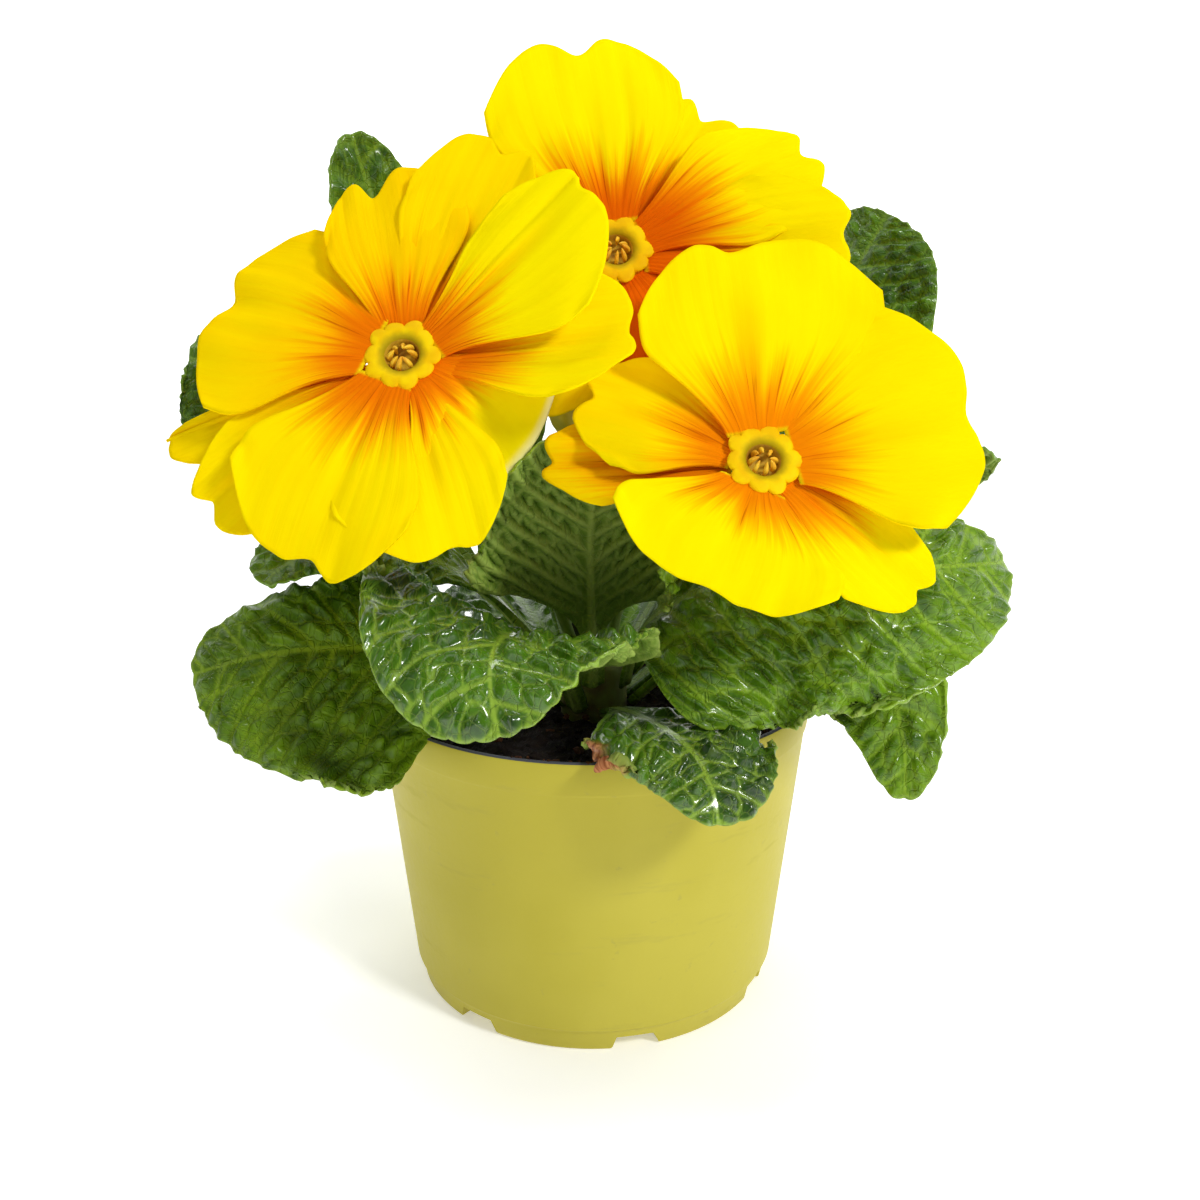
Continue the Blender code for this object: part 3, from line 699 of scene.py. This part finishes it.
def leaf_surface(leaf):
    """The leaf's face before its relief, with each point's share along it, line across it, x and y on it."""
    share = (np.linspace(0.0, 1.0, leaf.rows) ** 0.8)[:, None] * np.ones((1, leaf.columns))
    line = np.linspace(-1.0, 1.0, leaf.columns)[None, :] * np.ones((leaf.rows, 1))
    size, on_right = np.abs(line), line > 0
    azimuth = math.radians(leaf.azimuth)
    seed = int(leaf.azimuth)
    reach = CROWN_RADIUS + 0.65
    root = np.array((reach * math.cos(azimuth), reach * math.sin(azimuth), leaf.height))
    ends = (root, leaf.knee, leaf.shoulder, leaf.tip)
    curve, _ = bezier(ends, np.linspace(0, 1, 60))
    length = np.linalg.norm(np.diff(curve, axis=0), axis=1).sum()
    side = np.where(on_right, leaf.right, leaf.left)
    blade = smooth(0.24, 0.5, share)

    teeth_side = np.abs(np.sin(math.pi * share * length / TOOTH)) ** 0.6 - 0.6
    teeth_tip = np.abs(np.sin(math.pi * line * side / TOOTH)) ** 0.6 - 0.6
    rounding = 1.0 - ROUND_END * size**2.4 + teeth_tip * TOOTH_DEPTH / length * smooth(0.85, 1.0, share)
    along = share * (1.0 - (1.0 - rounding) * smooth(0.1, 0.9, share))
    point, travel = bezier(ends, along)
    level = np.cross(np.array(leaf.tip, float) - root, (0.0, 0.0, 1.0))
    across = unit(level - travel * (travel @ level)[..., None])
    roll = math.radians(leaf.roll) * smooth(0.05, 0.55, share)[..., None]
    across = across * np.cos(roll) + np.cross(travel, across) * np.sin(roll)
    normal = np.cross(across, travel)

    half = side * (STEM_SHARE + (1.0 - STEM_SHARE) * smooth(leaf.narrow, leaf.full, share))
    half = half * (1.0 - END_NARROWING * smooth(0.7, 1.0, share))
    lobes = 0.022 * value_noise(share * length / 9.0, line * 0.4, seed + 3) * half
    half = half + (teeth_side * TOOTH_DEPTH + lobes) * blade * smooth(0.85, 1.0, size)
    droop = np.radians(np.where(on_right, leaf.right_droop, leaf.left_droop))
    bend = droop * smooth(0.2, 0.6, share)
    bend = np.where(np.abs(bend) < 1e-4, 1e-4, bend)
    lateral = half / bend * np.sin(bend * size)
    drop = half / bend * (1.0 - np.cos(bend * size))
    wave = np.sin(math.tau * leaf.waves * share + 1.3 * on_right + azimuth)
    lift = leaf.wave * wave * size**1.6 * smooth(0.3, 0.7, share)
    sideways = across * (np.sign(line) * lateral)[..., None]
    points = point + sideways + normal * (lift - drop + LEAF_LIFT)[..., None]
    return points, share, line, size * half, along * length, seed


def leaf_relief(leaf, share, line, x, y, seed):
    """Where veins, domes and the edge show, how far the top rises, and how far ribs stand out below."""
    side = (line > 0).astype(int)
    warp = value_noise(x / 11.0, y / 11.0, seed) * 0.2
    order = (y - VEIN_SLOPE * x - VEIN_CURVE * x**2) / leaf.vein_gap + 0.5 * side + warp + 0.13 * seed
    off_vein = np.abs(order - np.round(order)) * leaf.vein_gap * 0.8
    sway_x = value_noise(x / 3.0, y / 3.0, seed + 11) * 0.22
    sway_y = value_noise(x / 3.0, y / 3.0, seed + 12) * 0.22
    cell = min(CELL, leaf.vein_gap * 0.55)
    off_cell = cell_edges(order * leaf.vein_gap / cell + sway_x, x / cell + sway_y, seed + 5 + side) * cell
    off_fine = cell_edges(x / FINE_CELL + sway_x * 2.0, y / FINE_CELL + sway_y * 2.0, seed + 21) * FINE_CELL
    rib_half = RIB_HALF_WIDTH * (1.0 - 0.75 * share)
    blade = smooth(leaf.narrow, leaf.full * 0.75, share)
    margin = (1.0 - smooth(0.86, 1.0, np.abs(line))) * (1.0 - 0.6 * smooth(0.93, 1.0, share))
    high = smooth(0.0, 0.24 * leaf.vein_gap, off_vein) * (0.2 + 0.8 * smooth(0.0, 1.8, off_cell))
    high = high * smooth(rib_half * 0.5, rib_half + 2.2, x) * blade
    dome = high * (0.12 + 0.88 * margin)
    ripple = smooth(0.0, 0.6, off_fine) * high * margin
    second_half = SIDE_VEIN_HALF_WIDTH * (1.0 - 0.4 * np.clip(x / 28.0, 0, 1))
    rib = 1.0 - smooth(rib_half * 0.5, rib_half * 0.9, x)
    second = (1.0 - smooth(second_half * 0.5, second_half * 1.5, off_vein)) * 0.9 * blade
    third = (1.0 - smooth(0.05, 0.36, off_cell)) * 0.7 * blade
    vein = np.maximum(np.maximum(rib, second), third)
    edge = np.maximum(smooth(0.97, 1.0, np.abs(line)), smooth(0.988, 1.0, share)) * blade
    rise = (DOME * (dome - 0.35) + FINE_DOME * ripple) * blade
    ridge = np.exp(-((x / (0.5 + 1.0 * (1.0 - share))) ** 2)) * RIB_DEPTH * (1.0 - 0.72 * share)
    ridge = np.maximum(ridge, SIDE_RIB_DEPTH * np.exp(-((off_vein / 0.55) ** 2)) * blade)
    return dict(vein=vein, dome=dome, edge=edge), rise, ridge


def build_leaf(name, leaf, top, under):
    """One leaf: its face with domes and teeth, thickened, with ribs raised on its underside."""
    points, share, line, x, y, seed = leaf_surface(leaf)
    looks, rise, ridge = leaf_relief(leaf, share, line, x, y, seed)
    normals = grid_normals(points)
    points = points + normals * rise[..., None]
    dry = smooth(0.80, 0.93, line + value_noise(share * 30.0, line * 6.0, 8) * 0.05)
    dry = leaf.dry * dry * smooth(0.62, 0.68, share) * (1.0 - smooth(0.88, 0.94, share))
    uv = np.stack((np.sign(line) * x, y), axis=-1) * MILLIMETRE
    looks["dry"] = dry
    made = sheet("fine_leaf_" + name, points, [top, under], uv, looks)
    count = leaf.rows * leaf.columns
    apply_modifier(made, "SOLIDIFY", thickness=LEAF_THICKNESS * MILLIMETRE, offset=-1.0,
                   material_offset=1, material_offset_rim=0)
    below = points_of(made)
    below[count:] -= (normals * ridge[..., None]).reshape(-1, 3)
    set_points(made, below)
    shade_smooth(made)
    hand_over(made, "leaf_" + name)


def build_leaves():
    """All leaves, each in the green that its look names."""
    tops = {
        "glossy": leaf_finish(
            "leaf glossy", linear(24, 58, 6), linear(78, 124, 14), linear(150, 184, 58), 0.32, 0.80, 0.8),
        "olive": leaf_finish(
            "leaf olive", linear(56, 90, 4), linear(112, 148, 12), linear(140, 172, 34), 0.44, 0.12, 0.8),
        "fresh": leaf_finish(
            "leaf fresh", linear(52, 92, 5), linear(118, 160, 18), linear(146, 182, 46), 0.34, 0.40, 0.8),
        "dark": leaf_finish(
            "leaf dark", linear(38, 74, 5), linear(86, 128, 14), linear(120, 156, 40), 0.36, 0.35, 0.8),
    }
    under = leaf_finish(
        "leaf underside", linear(98, 130, 40), linear(120, 150, 52), linear(160, 182, 84), 0.52, 0.0, 0.6)
    for name, leaf in LEAVES.items():
        build_leaf(name, leaf, tops[leaf.look], under)


# Blooms


def gaze_frame(bloom):
    """Places a bloom: its own Z is the gaze, given by its height and its turn from -Y towards +X."""
    height, turn = (math.radians(value) for value in bloom.gaze)
    level = math.cos(height)
    forward = Vector((math.sin(turn) * level, -math.cos(turn) * level, math.sin(height)))
    right = Vector((math.cos(turn), math.sin(turn), 0.0))
    up = forward.cross(right)
    made = Matrix((right, up, forward)).transposed().to_4x4()
    made.translation = Vector(bloom.eye)
    return made


def put(item, matrix):
    """Moves a piece's own points by a matrix in millimetres."""
    item.data.transform(Matrix.Scale(MILLIMETRE, 4) @ matrix @ Matrix.Scale(1.0 / MILLIMETRE, 4))


def petal_surface(petal, seed):
    """One heart-shaped petal's middle surface in its bloom's own frame, its UV map and its pale rim."""
    share = np.linspace(0.0, 1.0, PETAL_ROWS)[:, None] * np.ones((1, PETAL_COLUMNS))
    line = np.linspace(1.0, -1.0, PETAL_COLUMNS)[None, :] * np.ones((PETAL_ROWS, 1))
    heading = math.radians(petal.angle)
    ahead = np.array((math.cos(heading), math.sin(heading), 0.0))
    aside = np.array((-math.sin(heading), math.cos(heading), 0.0))
    half = np.where(line > 0, petal.left, petal.right)
    claw = CLAW_SHARE + (1.0 - CLAW_SHARE) * np.sin(0.5 * math.pi * smooth(-0.12, 0.92, share))
    size = np.abs(line)
    rounding = 1.0 - PETAL_ROUNDING * size**2.8 - petal.notch * np.exp(-((line / 0.2) ** 2))
    rim = value_noise(line * 3.0, line * 0.0, seed) * 0.014
    rounding = rounding + (rim + value_noise(line * 8.0, line * 0.0, seed) * 0.004)
    run = share * (1.0 - (1.0 - rounding) * smooth(0.0, 1.0, share))
    rise = np.radians(petal.lift + petal.bend * run)
    reach = (petal.length - PETAL_START) * run
    sway = np.sin(2.2 * line + petal.angle) * 1.1 * share**2
    end_wave = value_noise(line * 3.2, share * 2.0, seed + 5) * END_WAVE * smooth(0.45, 1.0, share)
    side_wave = value_noise(share * 5.0, line * 0.7, seed + 9) * SIDE_WAVE
    side_wave = side_wave * smooth(0.7, 1.0, size) * smooth(0.3, 0.6, share)
    furrow = -FURROW_DEPTH * np.exp(-((line / 0.10) ** 2)) * smooth(0.0, 0.3, share) * (1.0 - 0.5 * share)
    pleats = PLEAT_HEIGHT * value_noise(line * 7.0, share * 0.8, seed + 13) * smooth(0.05, 0.3, share)
    ribs = FINE_RIB_HEIGHT * np.cos(line * 37.0) * (1.0 - 0.6 * share)
    height = reach * np.sin(rise) - petal.layer * (0.6 + 0.4 * run) + petal.fold * half * size * share + sway
    height = height + end_wave + side_wave + furrow + pleats + ribs
    points = ahead * (PETAL_START + reach * np.cos(rise))[..., None]
    points = points + aside * (half * claw * line)[..., None]
    points[..., 2] += height
    side_rim = smooth(0.90, 0.98, line) * smooth(0.2, 0.5, share)
    cream = petal.cream * np.maximum(smooth(0.90, 0.98, share), side_rim)
    return points, np.stack((line * 0.5 + 0.5, run), axis=-1), cream


def build_bloom(name, bloom, petal_material, eye_materials, seed):
    """One bloom: all its petals as one piece, and its eye as another."""
    matrix = gaze_frame(bloom)
    petals = []
    for number, petal in enumerate(bloom.petals):
        points, uv, cream = petal_surface(petal, seed + number)
        plain = np.ones(points.shape[:2])
        # Each petal's strength of painted fold shade goes to its finish as an attribute.
        looks = dict(
            tint=plain * ((seed * 0.37 + number * 0.61) % 1.0), tone=plain * petal.tone,
            reach=plain * petal.reach, fold_shade=plain * petal.fold_shade, cream=cream)
        petals.append(sheet("petal", points, [petal_material], uv, looks))
    made = join(petals, "petals_" + name)
    apply_modifier(made, "SOLIDIFY", thickness=PETAL_THICKNESS * MILLIMETRE, offset=0.0)
    shade_smooth(made)
    put(made, matrix)
    hand_over(made, "bloom_" + name)
    eye = build_eye(name, matrix, *eye_materials)
    hand_over(eye, "bloom_" + name)


def build_eye(name, matrix, star_material, throat_material, anther_material):
    """The scalloped yellow star round the throat, the throat and the tube below it, and the anthers."""
    throat_top = THROAT_RADIUS + 0.1
    made = turned(
        "eye", [
            (0.0, -TUBE_LENGTH), (TUBE_RADIUS, -TUBE_LENGTH), (TUBE_RADIUS + 0.2, -5.5),
            (THROAT_RADIUS + 1.4, -3.2), (EYE_RADIUS - 1.4, -1.4), (EYE_RADIUS - 0.5, 0.15),
            (EYE_RADIUS - 0.5, 0.4), (EYE_RADIUS - 1.0, 0.7), (EYE_RADIUS - 2.0, 0.8),
            (throat_top + 0.5, 0.55), (throat_top, 0.1), (throat_top - 0.25, -0.8),
            (THROAT_RADIUS - 0.4, -1.4), (THROAT_RADIUS - 0.7, -THROAT_DEPTH), (0.0, -THROAT_DEPTH),
        ], 120, star_material, throat_material)
    points = points_of(made)
    radius = np.hypot(points[:, 0], points[:, 1])
    angle = np.arctan2(points[:, 1], points[:, 0])
    scallops = 0.05 * np.cos(5 * angle + 0.7) + 0.16 * (np.abs(np.cos(5 * angle)) ** 0.6 - 0.6)
    grown = 1.0 + scallops * smooth(0.55, 0.9, radius / EYE_RADIUS) * (points[:, 2] > -0.9)
    points[:, :2] *= grown[:, None]
    set_points(made, points)
    add_attribute(made, "ring", radius / EYE_RADIUS)
    for face in made.data.polygons:
        middle = face.center / MILLIMETRE
        inside = math.hypot(middle.x, middle.y) < throat_top and -THROAT_DEPTH - 0.1 < middle.z < -0.3
        face.material_index = 1 if inside else 0
    pieces = [made]
    draw = random.Random(name)
    for index in range(ANTHERS):
        angle = math.tau * index / ANTHERS + draw.uniform(-0.15, 0.15)
        pieces.append(build_anther(angle, draw, anther_material))
    made = join(pieces, "eye_" + name)
    put(made, matrix)
    shade_smooth(made, 60)
    return made


def build_anther(angle, draw, material):
    """A two-lobed anther that leans over the throat."""
    deselect()
    bpy.ops.mesh.primitive_uv_sphere_add(segments=12, ring_count=10, radius=MILLIMETRE)
    made = bpy.context.active_object
    points = points_of(made)
    points[:, 1] *= 1.0 - 0.35 * np.exp(-((points[:, 0] / 0.35) ** 2))
    points *= ANTHER_SHAPE
    points[:, 0] -= 0.22 * points[:, 2] ** 2
    set_points(made, points)
    reach = THROAT_RADIUS - 0.85
    height = -0.15 + draw.uniform(-0.35, 0.35)
    spot = Matrix.Translation((reach * math.cos(angle), reach * math.sin(angle), height))
    turn = Matrix.Rotation(angle + draw.uniform(-0.3, 0.3), 4, "Z")
    put(made, spot @ turn @ Matrix.Rotation(draw.uniform(-0.5, -0.15), 4, "Y"))
    made.data.materials.append(material)
    add_attribute(made, "ring", np.ones(len(points)))
    return made


def build_stem(bloom, matrix, length, material):
    """The stalk's stem, a bevelled curve from the crown up into the calyx."""
    deselect()
    bpy.ops.curve.primitive_bezier_curve_add()
    made = bpy.context.active_object
    foot, head = made.data.splines[0].bezier_points
    for point in (foot, head):
        point.handle_left_type = point.handle_right_type = "FREE"
    foot.co = Vector((*bloom.foot, CROWN_TOP + STALK_SEAT)) * MILLIMETRE
    foot.handle_left, foot.handle_right = foot.co, Vector(bloom.knee) * MILLIMETRE
    head.co = matrix @ Vector((0.0, 0.0, -length - 1.4)) * MILLIMETRE
    head.handle_left, head.handle_right = matrix @ Vector((0.0, 0.0, -length - 10.0)) * MILLIMETRE, head.co
    foot.radius, head.radius = 0.95, 1.2
    made.data.bevel_depth = STALK_RADIUS * MILLIMETRE
    made.data.bevel_resolution = 5
    made.data.resolution_u = 40
    made.data.use_fill_caps = True
    bpy.ops.object.convert(target="MESH")
    made.data.materials.append(material)
    return made


def build_stalk(name, bloom, length, radius, material):
    """The stalk with the calyx that holds a bloom's tube."""
    matrix = gaze_frame(bloom)
    inner = radius + 0.3
    profile = [
        (0.0, -length - 2.2), (STALK_RADIUS + 0.5, -length - 1.8), (inner + 0.7, -length + 0.4),
        (inner + 1.2, -length + 3.0), (inner + 1.15, -length * 0.5 - 2.0), (inner + 0.9, CALYX_RIM),
        (inner + 0.45, CALYX_RIM), (inner + 0.2, -length + 2.0), (0.0, -length - 0.4),
    ]
    cup = turned("cup", profile, 60, material)
    points = points_of(cup)
    angle = np.arctan2(points[:, 1], points[:, 0])
    tooth = np.abs(((angle * 5 / math.tau) % 1.0) - 0.5) * 2.0
    points[:, 2] -= np.where(points[:, 2] > CALYX_RIM - 0.1, CALYX_TOOTH * (1.0 - tooth), 0.0)
    points[:, :2] *= (1.0 + 0.06 * np.cos(5 * angle) * smooth(-length, -length + 3.0, points[:, 2]))[:, None]
    set_points(cup, points)
    put(cup, matrix)
    made = join([cup, build_stem(bloom, matrix, length, material)], "fine_stalk_" + name)
    shade_smooth(made, 50)
    hand_over(made, "stalk_" + name)


def build_blooms():
    """The open blooms, each with its own hues of orange, their stalks, and the bud."""
    throat = plain_finish("flower throat", linear(206, 168, 22), linear(168, 124, 16), 400.0, 0.7)
    anther = plain_finish("anther", linear(250, 206, 40), linear(236, 168, 14), 600.0, 0.6)
    eye_materials = (eye_finish(), throat, anther)
    stalk = plain_finish("stalk green", linear(128, 150, 64), linear(102, 130, 46), 220.0, 0.55)
    hearts = {
        "left": (linear(250, 158, 4), linear(234, 116, 4)),
        "top": (linear(246, 142, 4), linear(226, 100, 4)),
        "right": (linear(253, 172, 4), linear(240, 134, 4)),
        "back": (linear(250, 164, 4), linear(238, 124, 4)),
    }
    for number, (name, bloom) in enumerate(BLOOMS.items()):
        petals = petal_finish("petal " + name, *hearts[name])
        build_bloom(name, bloom, petals, eye_materials, 40 * (number + 1))
        build_stalk(name, bloom, TUBE_LENGTH, TUBE_RADIUS, stalk)
    build_bud(stalk)


def build_bud(stalk):
    """The bud of furled petals on its own stalk."""
    furled = plain_finish("furled petals", linear(236, 214, 60), linear(206, 196, 66), 180.0, 0.6)
    profile = [
        (0.0, -BUD_LENGTH), (2.0, -BUD_LENGTH), (2.2, -4.0), (2.9, -1.6), (3.1, 0.4), (2.8, 2.4), (2.0, 4.0),
        (1.0, 4.9), (0.0, 5.1),
    ]
    made = turned("furled_bud", profile, 48, furled)
    points = points_of(made)
    angle = np.arctan2(points[:, 1], points[:, 0])
    folds = 0.09 * np.cos(5 * angle + points[:, 2] * 0.25) * smooth(-5.0, 0.0, points[:, 2])
    points[:, :2] *= (1.0 + folds)[:, None]
    set_points(made, points)
    put(made, gaze_frame(BUD))
    shade_smooth(made)
    hand_over(made, "bloom_bud")
    build_stalk("bud", BUD, BUD_LENGTH, TUBE_RADIUS + 0.2, stalk)


# Pot and soil


def wall_radius(height):
    """The outer radius of the pot's plain wall."""
    share = (height - FOOT_STEP) / (POT_HEIGHT - FOOT_STEP)
    return FOOT_RADIUS + 1.4 + (POT_RADIUS - FOOT_RADIUS - 1.8) * share


def build_pot():
    """The pot: its spun wall and base, cut by the foot's notches and the drain holes, lined with grey."""
    outside = pot_finish("pot outside", linear(188, 177, 60), linear(198, 187, 72), linear(166, 157, 80))
    inside = pot_finish("pot inside", linear(86, 87, 98), linear(66, 67, 76), linear(92, 72, 56))
    band = POT_HEIGHT - BAND_HEIGHT
    floor_top = BASE_LIFT + WALL
    profile = [
        (0.0, 0.0), (HUB_RADIUS, 0.0), (HUB_RADIUS + 1.2, BASE_LIFT), (FOOT_RADIUS - 3.4, BASE_LIFT),
        (FOOT_RADIUS - 2.4, 0.0), (FOOT_RADIUS - 0.3, 0.0), (FOOT_RADIUS, 0.4),
        (FOOT_RADIUS + 0.4, FOOT_STEP - 1.4), (FOOT_RADIUS + 0.8, FOOT_STEP - 0.5),
        (wall_radius(FOOT_STEP), FOOT_STEP), (wall_radius(FOOT_STEP + 1.0), FOOT_STEP + 1.0),
        (wall_radius(30), 30.0), (wall_radius(band), band), (wall_radius(band) + 0.15, band + 0.2),
        (wall_radius(band) + 0.4, band + 0.7), (POT_RADIUS, POT_HEIGHT - 0.7),
        (POT_RADIUS - 0.1, POT_HEIGHT - 0.25), (POT_RADIUS - 0.4, POT_HEIGHT),
        (POT_RADIUS - 0.8, POT_HEIGHT),
        (POT_RADIUS - 1.05, POT_HEIGHT - 0.3), (POT_RADIUS - WALL - 0.2, POT_HEIGHT - 0.9),
        (wall_radius(band) - WALL, band), (wall_radius(FOOT_STEP) - WALL, FOOT_STEP + 0.6),
        (FOOT_RADIUS - 1.0, floor_top), (0.0, floor_top),
    ]
    pot = turned("fine_pot", profile, POT_SIDES, outside, inside)
    cutters = []
    for index in range(FOOT_NOTCHES):
        angle = FIRST_NOTCH + math.tau * index / FOOT_NOTCHES
        cutters.append(notch_cutter(angle))
        cutters.append(drain_cutter(angle + math.pi / FOOT_NOTCHES))
    cutter = join(cutters, "cutters")
    apply_modifier(pot, "BOOLEAN", object=cutter, operation="DIFFERENCE", solver="EXACT")
    bpy.data.objects.remove(cutter, do_unlink=True)
    for face in pot.data.polygons:
        middle = face.center / MILLIMETRE
        outward = middle.x * face.normal.x + middle.y * face.normal.y
        faces_in = outward < -1e-3 and middle.z > BASE_LIFT + 0.1
        on_floor = middle.z > floor_top - 0.01 and face.normal.z > 0.5
        face.material_index = 1 if faces_in or on_floor else 0
    shade_smooth(pot, 35)
    hand_over(pot, "pot")


def notch_cutter(angle):
    """A block that cuts one notch through the foot ring: wider at the floor, and higher outside."""
    half, half_top = NOTCH_WIDTH / 2.0, NOTCH_TOP_WIDTH / 2.0
    deselect()
    bpy.ops.mesh.primitive_cube_add(size=1.0)
    cutter = bpy.context.active_object
    near, far = FOOT_RADIUS - 2.9, FOOT_RADIUS + 3.0
    for vertex in cutter.data.vertices:
        outer, right, upper = vertex.co.x > 0, vertex.co.y > 0, vertex.co.z > 0
        x = far if outer else near
        width = half_top if upper else half
        y = width if right else -width
        top = NOTCH_HEIGHT if outer else BASE_LIFT - 0.4
        z = top if upper else -1.0
        vertex.co = Vector((x, y, z)) * MILLIMETRE
    cutter.data.transform(Matrix.Rotation(angle, 4, "Z"))
    return cutter


def drain_cutter(angle):
    deselect()
    bpy.ops.mesh.primitive_cylinder_add(vertices=32, radius=DRAIN_RADIUS * MILLIMETRE, depth=7 * MILLIMETRE)
    cutter = bpy.context.active_object
    centre = Vector((DRAIN_CIRCLE * math.cos(angle), DRAIN_CIRCLE * math.sin(angle), 2.5))
    cutter.data.transform(Matrix.Translation(centre * MILLIMETRE))
    return cutter


def build_soil():
    """The lumpy bed of soil, with loose crumbs on it and on the pot's rim."""
    dull = dict(bump_depth=0.001, Specular_IOR_Level=0.15)
    dark = plain_finish("potting soil", linear(34, 26, 22), linear(14, 11, 10), 260.0, 0.95, **dull)
    red = plain_finish("soil crumbs", linear(96, 60, 40), linear(52, 32, 22), 300.0, 0.9, **dull)
    band = POT_HEIGHT - BAND_HEIGHT
    edge = wall_radius(band) - WALL - 0.45
    rings = np.linspace(edge, 1.0, 56)
    profile = [(0.0, SOIL_FLOOR), (FOOT_RADIUS - 2.0, SOIL_FLOOR), (edge - 0.2, SOIL_TOP - 2.0)]
    profile += [(radius, SOIL_TOP) for radius in rings] + [(0.0, SOIL_TOP)]
    bed = turned("bed", profile, 200, dark)
    points = points_of(bed)
    x, y = points[:, 0], points[:, 1]
    radius = np.hypot(x, y)
    lumps = value_noise(x / 5.0, y / 5.0, 3) * 0.9 + value_noise(x / 2.0, y / 2.0, 4) * 0.55
    lumps = lumps + value_noise(x / 0.9, y / 0.9, 5) * 0.3
    height = SOIL_TOP - 0.3 + lumps * np.minimum(1.0, (edge - radius) / 2.0 + 0.3)
    height = height - smooth(edge - 3.0, edge, radius)
    points[:, 2] = np.where(points[:, 2] > SOIL_TOP - 0.1, height, points[:, 2])
    set_points(bed, points)
    crumbs = [bed]
    draw = random.Random(5)
    deselect()
    bpy.ops.mesh.primitive_ico_sphere_add(subdivisions=1, radius=MILLIMETRE)
    grain = bpy.context.active_object
    for index in range(SOIL_CRUMBS + RIM_CRUMBS):
        on_rim = index >= SOIL_CRUMBS
        angle = draw.uniform(-1.9, -1.2) if on_rim else draw.uniform(0, math.tau)
        reach = POT_RADIUS - draw.uniform(0.7, 1.2) if on_rim else edge * math.sqrt(draw.uniform(0.03, 0.97))
        height = POT_HEIGHT if on_rim else SOIL_TOP + draw.uniform(-0.3, 0.6)
        size = draw.uniform(0.2, 0.5) if on_rim else draw.choice((0.5, 0.7, 0.9, 1.3))
        crumb = grain.copy()
        crumb.data = grain.data.copy()
        bpy.context.scene.collection.objects.link(crumb)
        for vertex in crumb.data.vertices:
            vertex.co *= draw.uniform(0.65, 1.25)
        shape = Matrix.Diagonal((size, size * draw.uniform(0.5, 1.0), size * 0.7, 1.0))
        spot = Matrix.Translation((reach * math.cos(angle), reach * math.sin(angle), height))
        put(crumb, spot @ Matrix.Rotation(draw.uniform(0, math.tau), 4, "Z") @ shape)
        crumb.data.materials.append(red if on_rim or draw.random() < 0.3 else dark)
        crumbs.append(crumb)
    bpy.data.objects.remove(grain, do_unlink=True)
    made = join(crumbs, "fine_soil")
    hand_over(made, "soil")


def build_crown():
    """The short grooved rootstock under the leaves."""
    green = plain_finish("crown", linear(104, 120, 52), linear(88, 70, 40), 160.0, 0.7)
    profile = [
        (0.0, CROWN_BOTTOM), (CROWN_RADIUS - 1.5, CROWN_BOTTOM), (CROWN_RADIUS - 0.1, CROWN_BOTTOM + 2.0),
        (CROWN_RADIUS, 60.0), (CROWN_RADIUS - 0.1, CROWN_TOP - 1.2), (CROWN_RADIUS - 1.0, CROWN_TOP - 0.1),
        (0.0, CROWN_TOP),
    ]
    made = turned("fine_crown", profile, 64, green)
    points = points_of(made)
    angle = np.arctan2(points[:, 1], points[:, 0])
    points[:, :2] *= (1.0 - 0.015 * (1.0 + np.sin(9 * angle + points[:, 2] * 0.3)))[:, None]
    set_points(made, points)
    shade_smooth(made)
    hand_over(made, "crown")


# Floor, light and camera


def build_stage():
    """A pale floor and backdrop that glow faintly, the soft sky and the lamps."""
    deselect()
    middle = BACKDROP_PLACE - STAGE_SIZE / 2
    bpy.ops.mesh.primitive_plane_add(size=STAGE_SIZE, location=(0, middle, -STAGE_DROP))
    floor = bpy.context.active_object
    floor.name = "floor"
    white = (0.93, 0.93, 0.93, 1.0)
    glow = dict(Base_Color=white, Roughness=0.9, Specular_IOR_Level=0.0, Emission_Color=(1.0, 1.0, 1.0, 1.0))
    floor.data.materials.append(Finish("floor white", Emission_Strength=FLOOR_GLOW, **glow).material)
    deselect()
    place = (0, BACKDROP_PLACE, STAGE_SIZE / 2 - STAGE_DROP)
    bpy.ops.mesh.primitive_plane_add(size=STAGE_SIZE, location=place, rotation=(math.pi / 2, 0, 0))
    wall = bpy.context.active_object
    wall.name = "backdrop"
    wall.data.materials.append(Finish("backdrop white", Emission_Strength=BACKDROP_GLOW, **glow).material)
    world = bpy.data.worlds.new("studio")
    bpy.context.scene.world = world
    world.use_nodes = True
    sky = world.node_tree.nodes["Background"]
    sky.inputs["Color"].default_value = (1.0, 1.0, 1.0, 1.0)
    sky.inputs["Strength"].default_value = WORLD_STRENGTH
    for name, lamp in LAMPS.items():
        add_light(name, *lamp)


def add_light(name, place, size, power):
    """A round soft lamp that faces the plant."""
    lamp = bpy.data.lights.new(name, "AREA")
    lamp.shape = "DISK"
    lamp.size = size
    lamp.energy = power
    item = bpy.data.objects.new(name, lamp)
    bpy.context.scene.collection.objects.link(item)
    item.location = place
    item.rotation_euler = (Vector(LAMP_AIM) - Vector(place)).to_track_quat("-Z", "Y").to_euler()


def build_camera():
    """The camera where the photo's camera stood."""
    camera = bpy.data.cameras.new("camera")
    camera.lens = LENS
    camera.sensor_width = 36.0
    camera.clip_start = 0.01
    item = bpy.data.objects.new("camera", camera)
    bpy.context.scene.collection.objects.link(item)
    item.location = CAMERA_PLACE
    item.rotation_euler = (math.radians(90.0 - CAMERA_DIP), 0.0, 0.0)
    bpy.context.scene.camera = item
    bpy.context.scene.view_settings.view_transform = "Standard"


build_leaves()
build_blooms()
build_pot()
build_soil()
build_crown()
build_stage()
build_camera()
